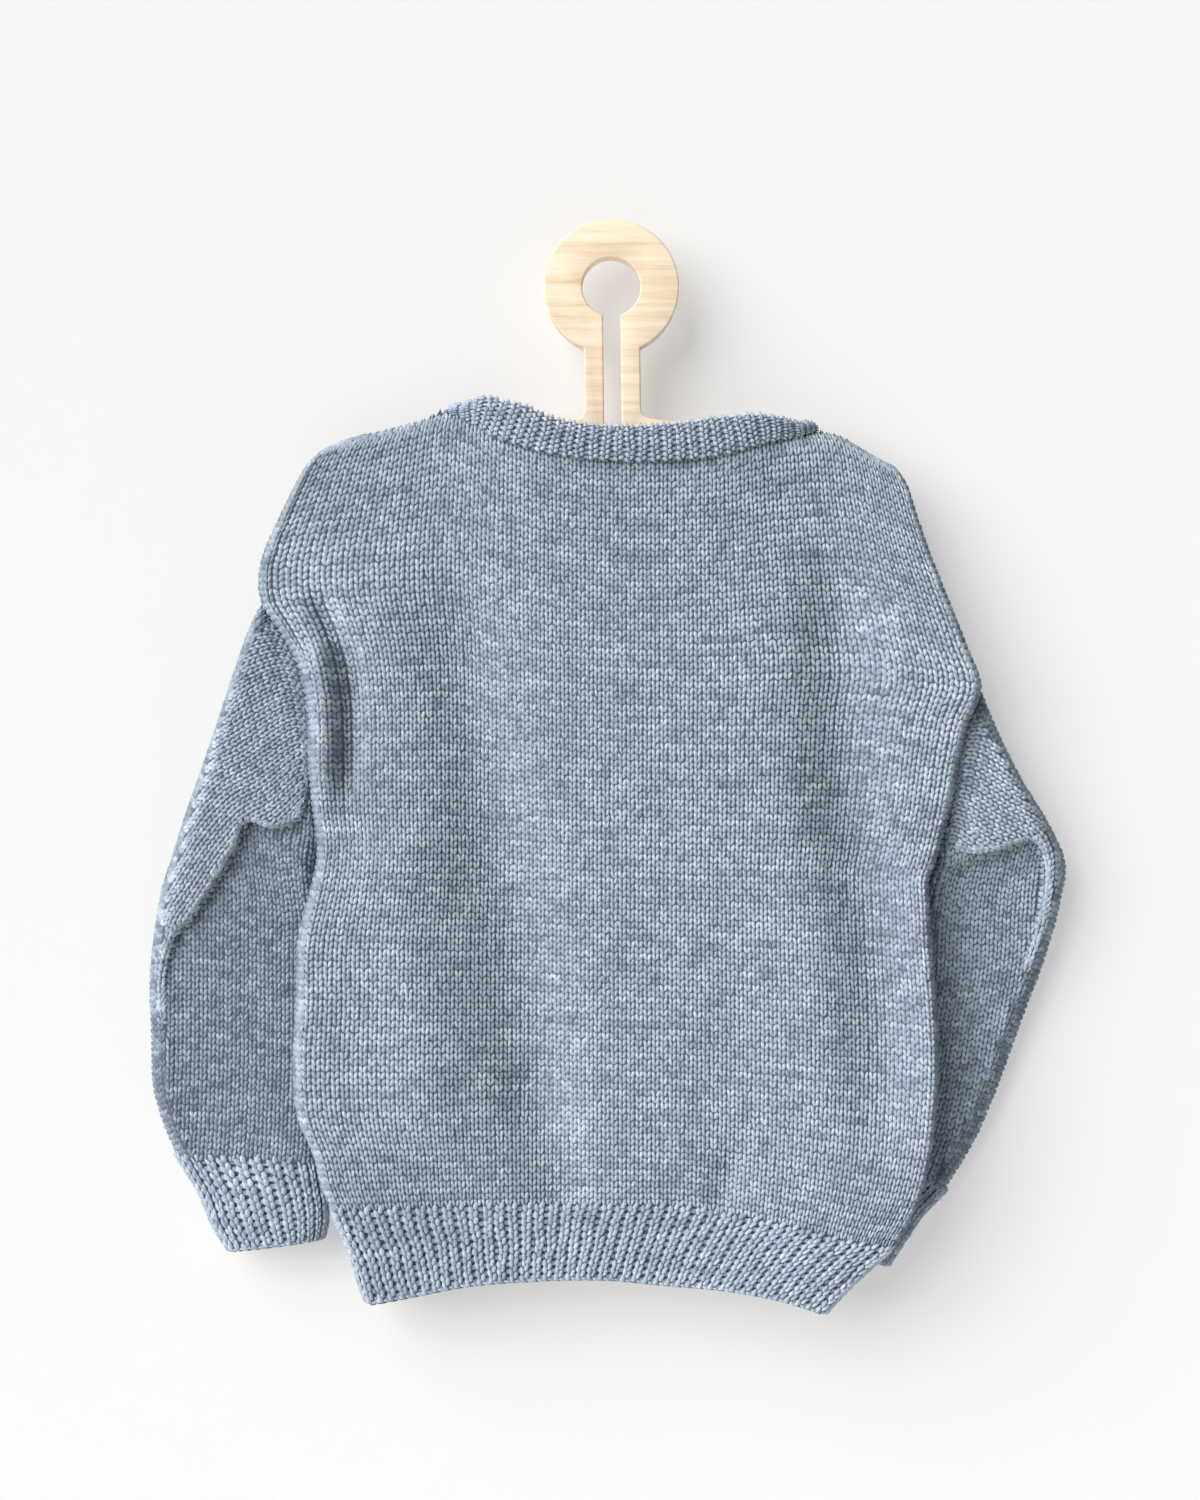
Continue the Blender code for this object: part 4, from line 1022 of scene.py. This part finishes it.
def rib_field(made, surface, phases, downs, ribs, outward_of, top=1.2, purl=-0.8):
    """Rib stitches: a knit column on every crest, its two legs half a row apart so that it winds,
    and a low purl bump in every valley."""
    k, j = (a.ravel() for a in np.meshgrid(np.arange(ribs), np.arange(len(downs) - 1)))
    middle = (downs[:-1] + downs[1:]) / 2
    half = (phases(1) - phases(0)) / 2
    drift = made.random.normal(0, 1, (len(downs), ribs))
    for _ in range(2):
        drift = (drift + np.roll(drift, 1, axis=0)) / 2
    crest = phases(k) + 0.16 * half * drift[j, k]
    side = surface(crest + half / 2, middle[j]) - surface(crest - half / 2, middle[j])
    row = surface(crest, downs[j]) - surface(crest, downs[j + 1])
    at = surface(crest, downs[j + 1])
    outward = outward_of(crest, middle[j])
    n = unit(np.cross(side, row))
    n = np.where((n * outward).sum(axis=-1, keepdims=True) < 0, -n, n)
    at = at + 0.85 * n
    tones = 0.7 * made.streaks(len(downs), ribs)[j, k]
    for way in (1, -1):
        leg = leg_shape(way, foot=0.1, head=0.38, half=0.98, crest=0.9, top=top)
        made.place(leg, way < 0, at + (0.25 * way - 0.05) * row, side * 1.6, row, outward, tones)
    made.fuzz(RIB_FUZZ, at, side, row, outward)
    valley = phases(k) + half
    spot = surface(valley, middle[j])
    outward = outward_of(valley, middle[j])
    across = surface(valley + half / 2, middle[j]) - surface(valley - half / 2, middle[j])
    up = surface(valley, downs[j]) - surface(valley, downs[j + 1])
    bump = leg_shape(1, foot=-0.42, head=0.42, top=0.0, half=0.95, crest=purl)
    # Purl bumps in the valleys are darkened with painted shade
    made.place(bump, False, spot - 0.2 * up, across * 1.3, up, outward, tones - VALLEY_PAINTED_SHADE)


def cast_on(made, surface, phases, foot, ribs, outward_of):
    """Cast-on edge: a row of legs laid end to end along the foot of a rib, two to each rib."""
    here = phases(np.arange(2 * ribs - 1) / 2)
    half = (phases(1) - phases(0)) / 2
    low = surface(here, np.full_like(here, foot))
    row = surface(here + half, np.full_like(here, foot)) - low
    up = COLUMN * unit(surface(here, np.full_like(here, foot - 0.06)) - low)
    outward = outward_of(here, np.full_like(here, foot))
    leg = leg_shape(1, foot=-0.1, head=0.12, half=1.0, crest=0.95, top=1.4)
    made.place(leg, False, low, up, row, outward, 0.5 * made.random.normal(0, 1, len(here)))


def hem_pieces(near, seed, yarn, floor):
    """Hem rib of the back or front: ribbed ground and its stitches, even round the side edges."""
    places = np.linspace(-1, 1, 1201)
    total = run_of(hem(places, np.full_like(places, 0.5), near))

    def surface(a, b):
        return hem(np.interp(a, 2 * total / total[-1] - 1, places), b, near)

    def phases(k):
        return -1 + (2 * k + 1) / HEM_RIBS

    def outward(a, b):
        return np.broadcast_to(side_of(near), (len(a), 3))

    t = np.linspace(-0.05, 1, 22)
    s = np.linspace(-1, 1, HEM_RIBS * 6 + 1)
    s, t = np.meshgrid(s, t)
    relief = rib_relief((s + 1) / 2 * HEM_RIBS - 0.5)[..., None]
    name = "hem_back" if near else "hem_front"
    cloth = ground(name + "_cloth", surface(s, t), side_of(near), floor, relief=relief)
    fine = np.linspace(0, 1, 200)
    count = round(run_of(hem(np.zeros_like(fine), fine, near))[-1] / RIB_ROW)
    made = Stitches(seed)
    rib_field(made, surface, phases, np.linspace(-0.035, RIB_FOOT, count + 1), HEM_RIBS, outward)
    cast_on(made, surface, phases, CAST_ON_AT, HEM_RIBS, outward)
    return cloth, made.piece(name + "_stitches", yarn)


def cuff_pieces(name, rows, seed, yarn, floor):
    """Ribbed cuff: ribbed ground tube and its stitches."""
    surface = cuff_surface(rows)
    angle = np.arange(CUFF_RIBS * 6) * 2 * math.pi / (CUFF_RIBS * 6)
    a, t = np.meshgrid(angle, np.linspace(-0.06, 1, 24))
    outer = surface(a, t)
    centre = outer.mean(axis=1, keepdims=True)
    relief = rib_relief(a * CUFF_RIBS / (2 * math.pi))[..., None]
    cloth = ground(name + "_cloth", outer, outer - centre, floor, ring=True, relief=relief)
    fine = np.linspace(0, 1, 100)
    count = round(run_of(surface(np.full_like(fine, math.pi / 2), fine))[-1] / RIB_ROW)

    def phases(k):
        return 2 * math.pi * k / CUFF_RIBS

    def outward(a, b):
        away = surface(a, b) - surface(a + math.pi, b)
        away[:, 1] *= 4
        return away

    made = Stitches(seed)
    rib_field(made, surface, phases, np.linspace(-0.075, RIB_FOOT, count + 1), CUFF_RIBS, outward)
    cast_on(made, surface, phases, CAST_ON_AT, CUFF_RIBS, outward)
    return cloth, made.piece(name + "_stitches", yarn)


def neckband_pieces(seed, yarn, floor):
    """Folded neckband: ribbed ground ring and its stitches, which run up, over the fold and down."""
    around = NECK_RIBS * 6
    u, a = np.meshgrid(np.arange(around) / around, np.arange(28) * 2 * math.pi / 28)
    points = neckband(u, a, relief=rib_relief(u * NECK_RIBS) - GROUND_SINK * 0.6)
    faces = grid_faces(28, around, ring_rows=True, ring_columns=True)
    cloth = make_piece("neckband_cloth", points, faces, floor)
    fine = np.linspace(-1.35, math.pi + 1.35, 400)
    total = run_of(neckband(np.full_like(fine, 0.2), fine))
    count = round(total[-1] / NECK_ROW)
    rows = np.interp(np.linspace(0, total[-1], count + 1), total, fine)[::-1]
    made = Stitches(seed)

    def outward(a, b):
        return neckband(a, b) - neckband(a, b + math.pi)

    rib_field(made, neckband, lambda k: k / NECK_RIBS, rows, NECK_RIBS, outward, top=1.0, purl=-0.35)
    return cloth, made.piece("neckband_stitches", yarn)


class Value:
    """A shader value that works in Python expressions; each operator adds one Math node."""

    def __init__(self, finish, socket):
        self.finish = finish
        self.socket = socket

    def maths(self, operation, *terms):
        return self.finish.node("ShaderNodeMath", 0, {"operation": operation}, dict(enumerate(terms)))

    def __add__(self, other):
        return self.maths("ADD", self, other)

    def __radd__(self, other):
        return self.maths("ADD", other, self)

    def __sub__(self, other):
        return self.maths("SUBTRACT", self, other)

    def __rsub__(self, other):
        return self.maths("SUBTRACT", other, self)

    def __mul__(self, other):
        return self.maths("MULTIPLY", self, other)

    def __rmul__(self, other):
        return self.maths("MULTIPLY", other, self)

    def sine(self):
        return self.maths("SINE", self)


class Finish:
    """One material: its Principled shader and the nodes that feed it."""

    def __init__(self, name, **constants):
        self.material = bpy.data.materials.new(name)
        self.material.use_nodes = True
        self.tree = self.material.node_tree
        self.shader = self.tree.nodes["Principled BSDF"]
        for key, value in constants.items():
            self.shader.inputs[key.replace("_", " ")].default_value = value

    def join(self, socket, value):
        """Link a Value to a socket, or set a plain one."""
        if isinstance(value, Value):
            self.tree.links.new(value.socket, socket)
        else:
            socket.default_value = value

    def node(self, kind, output, settings=None, values=None):
        """Any node: its type, the output to read, its settings first and then its sockets."""
        made = self.tree.nodes.new(kind)
        for key, value in (settings or {}).items():
            if key == "stops":
                ramp = made.color_ramp
                while len(ramp.elements) < len(value):
                    ramp.elements.new(0.5)
                for element, (place, colour) in zip(ramp.elements, value):
                    element.position = place
                    element.color = colour
            else:
                setattr(made, key, value)
        for key, value in (values or {}).items():
            self.join(made.inputs[key], value)
        return Value(self, made.outputs[output])

    def mix(self, share, first, second):
        """Blend of two colours."""
        return self.node("ShaderNodeMix", 2, {"data_type": "RGBA"}, {0: share, 6: first, 7: second})

    def shine(self, **links):
        """Feed the shader's own sockets."""
        for key, value in links.items():
            self.join(self.shader.inputs[key.replace("_", " ")], value)


def wool_finish(name, dark, middle, light, sheen):
    """Heathered wool: each leg has its own tone, with soft blotches and fine fibres over it."""
    wool = Finish(name, Metallic=0.0, Sheen_Weight=sheen, Sheen_Roughness=0.45,
                  Sheen_Tint=(0.86, 0.92, 1.0, 1.0), Specular_IOR_Level=0.25)
    place = wool.node("ShaderNodeTexCoord", "Object")
    stitch = wool.node("ShaderNodeAttribute", "Vector", {"attribute_name": "stitch"})
    parts = {axis: wool.node("ShaderNodeSeparateXYZ", axis, values={0: stitch}) for axis in "XYZ"}
    blotch = wool.node("ShaderNodeTexNoise", 0, values={"Vector": place, "Scale": 130.0, "Detail": 3.0})
    fibre = wool.node("ShaderNodeTexNoise", 0, values={"Vector": place, "Scale": 1500.0, "Detail": 4.0,
                                                       "Roughness": 0.65})
    tone = 0.36 * parts["X"] + 0.3 * blotch + 0.95 * fibre - 0.3
    ramp = wool.node("ShaderNodeValToRGB", 0, {"stops": ((0.12, dark), (0.5, middle), (0.88, light))},
                     {0: tone})
    ply = (parts["Y"] * 17.0 + parts["Z"] * 1.7).sine()
    height = 0.5 * fibre + 0.12 * ply
    bump = wool.node("ShaderNodeBump", 0, values={"Strength": 0.55, "Distance": 0.0006, "Height": height})
    wool.shine(Base_Color=ramp, Roughness=0.8 + 0.16 * fibre, Normal=bump)
    return wool.material


def ground_painted_shade_finish():
    """Wool between the stitches, coloured far darker than the yarn as painted shade."""
    wool = Finish("wool_ground_painted_shade", Metallic=0.0, Sheen_Weight=0.08, Sheen_Roughness=0.5,
                  Specular_IOR_Level=0.15)
    place = wool.node("ShaderNodeTexCoord", "Object")
    fibre = wool.node("ShaderNodeTexNoise", 0, values={"Vector": place, "Scale": 900.0, "Detail": 4.0})
    # Painted shade: dark colours that stand for the shade in the gaps between stitches
    colour = wool.mix(fibre, (0.05, 0.062, 0.08, 1), (0.18, 0.215, 0.26, 1))
    bump = wool.node("ShaderNodeBump", 0, values={"Strength": 0.6, "Distance": 0.0006, "Height": fibre})
    wool.shine(Base_Color=colour, Roughness=0.88 + 0.1 * fibre, Normal=bump)
    return wool.material


def wood_finish():
    """Pale sanded plywood: faint level grain, a few darker streaks and fine pores."""
    wood = Finish("pale_plywood", Metallic=0.0, Coat_Weight=0.05, Coat_Roughness=0.4)
    place = wood.node("ShaderNodeTexCoord", "Object")
    grain_place = wood.node("ShaderNodeMapping", 0, values={"Vector": place, "Scale": (6.0, 30.0, 130.0)})
    pore_place = wood.node("ShaderNodeMapping", 0, values={"Vector": place, "Scale": (60.0, 400.0, 1600.0)})
    grain = wood.node("ShaderNodeTexNoise", 0, values={"Vector": grain_place, "Scale": 1.6, "Detail": 5.0,
                                                       "Distortion": 0.4})
    pores = wood.node("ShaderNodeTexNoise", 0, values={"Vector": pore_place, "Scale": 1.0, "Detail": 3.0})
    tone = 0.7 * grain + 0.3 * pores
    stops = ((0.3, (0.66, 0.49, 0.33, 1)), (0.48, (0.84, 0.68, 0.5, 1)), (0.66, (0.93, 0.79, 0.62, 1)))
    colour = wood.node("ShaderNodeValToRGB", 0, {"stops": stops}, {0: tone})
    bump = wood.node("ShaderNodeBump", 0, values={"Strength": 0.25, "Distance": 0.0003, "Height": pores})
    wood.shine(Base_Color=colour, Roughness=0.42 + 0.18 * pores, Normal=bump)
    return wood.material


def wall_finish():
    """White wall that lets the views from behind pass through."""
    wall = Finish("white_wall", Roughness=0.9, Base_Color=(0.5, 0.5, 0.5, 1), Metallic=0.0,
                  Emission_Color=(1.0, 1.0, 1.0, 1), Emission_Strength=0.345)
    back = wall.node("ShaderNodeNewGeometry", "Backfacing")
    clear = wall.node("ShaderNodeBsdfTransparent", 0)
    shader = Value(wall, wall.shader.outputs[0])
    mixed = wall.node("ShaderNodeMixShader", 0, values={0: back, 1: shader, 2: clear})
    wall.join(wall.tree.nodes["Material Output"].inputs["Surface"], mixed)
    return wall.material


def hanger_board(finish):
    """Board of the hanger: a merged copy of the solid with its sharp edges eased."""
    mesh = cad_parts["hanger"].data.copy()
    work = bmesh.new()
    work.from_mesh(mesh)
    bmesh.ops.remove_doubles(work, verts=work.verts, dist=1e-6)
    bmesh.ops.dissolve_limit(work, angle_limit=math.radians(1), verts=work.verts, edges=work.edges)
    work.to_mesh(mesh)
    work.free()
    mesh.materials.clear()
    mesh.materials.append(finish)
    mesh.shade_smooth()
    board = bpy.data.objects.new("hanger_board", mesh)
    bpy.context.scene.collection.objects.link(board)
    eased = board.modifiers.new("eased_edges", "BEVEL")
    eased.width = 0.0009
    eased.segments = 3
    eased.limit_method = "ANGLE"
    eased.angle_limit = math.radians(40)
    eased.harden_normals = True
    return board


def plane(name, corners, finish):
    """Flat stage piece from four corners in metres."""
    piece = make_piece(name, np.array(corners) / MM, np.array([(0, 1, 2, 3)]), finish, smooth=False)
    return piece


def sun(name, place, strength, softness, colour):
    """Soft distant light that shines from a direction toward the origin."""
    data = bpy.data.lights.new(name, "SUN")
    data.energy = strength
    data.angle = math.radians(softness)
    data.color = colour
    light = bpy.data.objects.new(name, data)
    light.rotation_euler = Vector(place).to_track_quat("Z", "Y").to_euler()
    bpy.context.scene.collection.objects.link(light)
    return light


def set_stage():
    """White wall, pale floor, soft key light from the upper left, white surroundings and the camera."""
    wall_y = CAD_HIGH.y + 0.004
    plane("wall", ((-3, wall_y, -1.2), (3, wall_y, -1.2), (3, wall_y, 2.5), (-3, wall_y, 2.5)), wall_finish())
    pale = Finish("pale_floor", Roughness=0.85, Base_Color=(0.85, 0.85, 0.84, 1)).material
    plane("floor", ((-3, -3, -1.2), (3, -3, -1.2), (3, wall_y, -1.2), (-3, wall_y, -1.2)), pale)
    sun("key_light", (-1.45, -1.3, 1.0), 4.1, 60.0, (1.0, 0.985, 0.965))
    world = bpy.data.worlds.new("surroundings")
    world.use_nodes = True
    world.node_tree.nodes["Background"].inputs["Color"].default_value = (0.97, 0.985, 1.0, 1)
    world.node_tree.nodes["Background"].inputs["Strength"].default_value = 0.22
    bpy.context.scene.world = world
    bpy.context.scene.view_settings.view_transform = "Standard"
    view = bpy.data.cameras.new("camera")
    view.lens = 60.0
    view.sensor_width = 36.0
    view.sensor_fit = "AUTO"
    camera = bpy.data.objects.new("camera", view)
    camera.location = (-0.006, -1.25, -0.2455)
    camera.rotation_euler = (math.radians(90), 0, 0)
    bpy.context.scene.collection.objects.link(camera)
    bpy.context.scene.camera = camera


def dress(cloth, stitches, node):
    """Hang one knitted piece: its ground and stitches are attached to the root, and the CAD part they stand
    for is hidden.
    """
    for piece in (cloth, stitches):
        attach(piece, "root")
    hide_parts(node)


yarn = wool_finish("wool_yarn", (0.16, 0.2, 0.26, 1), (0.43, 0.51, 0.605, 1), (0.76, 0.85, 0.93, 1), 0.15)
rib_yarn = wool_finish("wool_rib_yarn", (0.17, 0.21, 0.27, 1), (0.425, 0.51, 0.62, 1),
                       (0.8, 0.88, 0.95, 1), 0.15)
floor_wool_painted_shade = ground_painted_shade_finish()

board = hanger_board(wood_finish())
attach(board, "root")
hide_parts("hanger")

back = body_ground(True, floor_wool_painted_shade)
dress(back, body_stitches(True, 11, yarn), "back_panel")
front = body_ground(False, floor_wool_painted_shade)
dress(front, body_stitches(False, 12, yarn), "front_panel")
left_sleeve = Sleeve(LEFT_SLEEVE, LEFT_SIDE, LEFT_ARMHOLE, -1)
right_sleeve = Sleeve(RIGHT_SLEEVE, RIGHT_SIDE, RIGHT_ARMHOLE, 1)
for end, shape, seed, flat, cuff_rows, cuff_flat in (
        ("left", left_sleeve, 21, (0.19, 0.235), LEFT_CUFF, (0.135, 0.047)),
        ("right", right_sleeve, 22, (0.15, 0.22), RIGHT_CUFF, (0.1, 0.047))):
    name = "sleeve_" + end
    cloth = sleeve_ground(name + "_cloth", shape, floor_wool_painted_shade)
    dress(cloth, sleeve_stitches(name + "_stitches", shape, seed, yarn), name)
    name = "cuff_" + end
    cuff_cloth, cuff_stitches = cuff_pieces(name, cuff_rows, seed + 10, rib_yarn, floor_wool_painted_shade)
    dress(cuff_cloth, cuff_stitches, name)
for near, node, holder in ((True, "hem_back", back), (False, "hem_front", front)):
    cloth, stitches = hem_pieces(near, 41 + near, rib_yarn, floor_wool_painted_shade)
    dress(cloth, stitches, node)
cloth, stitches = neckband_pieces(51, rib_yarn, floor_wool_painted_shade)
dress(cloth, stitches, "neckband")

set_stage()

print("CAD box", [round(v * 1000, 1) for v in (*CAD_LOW, *CAD_HIGH)])
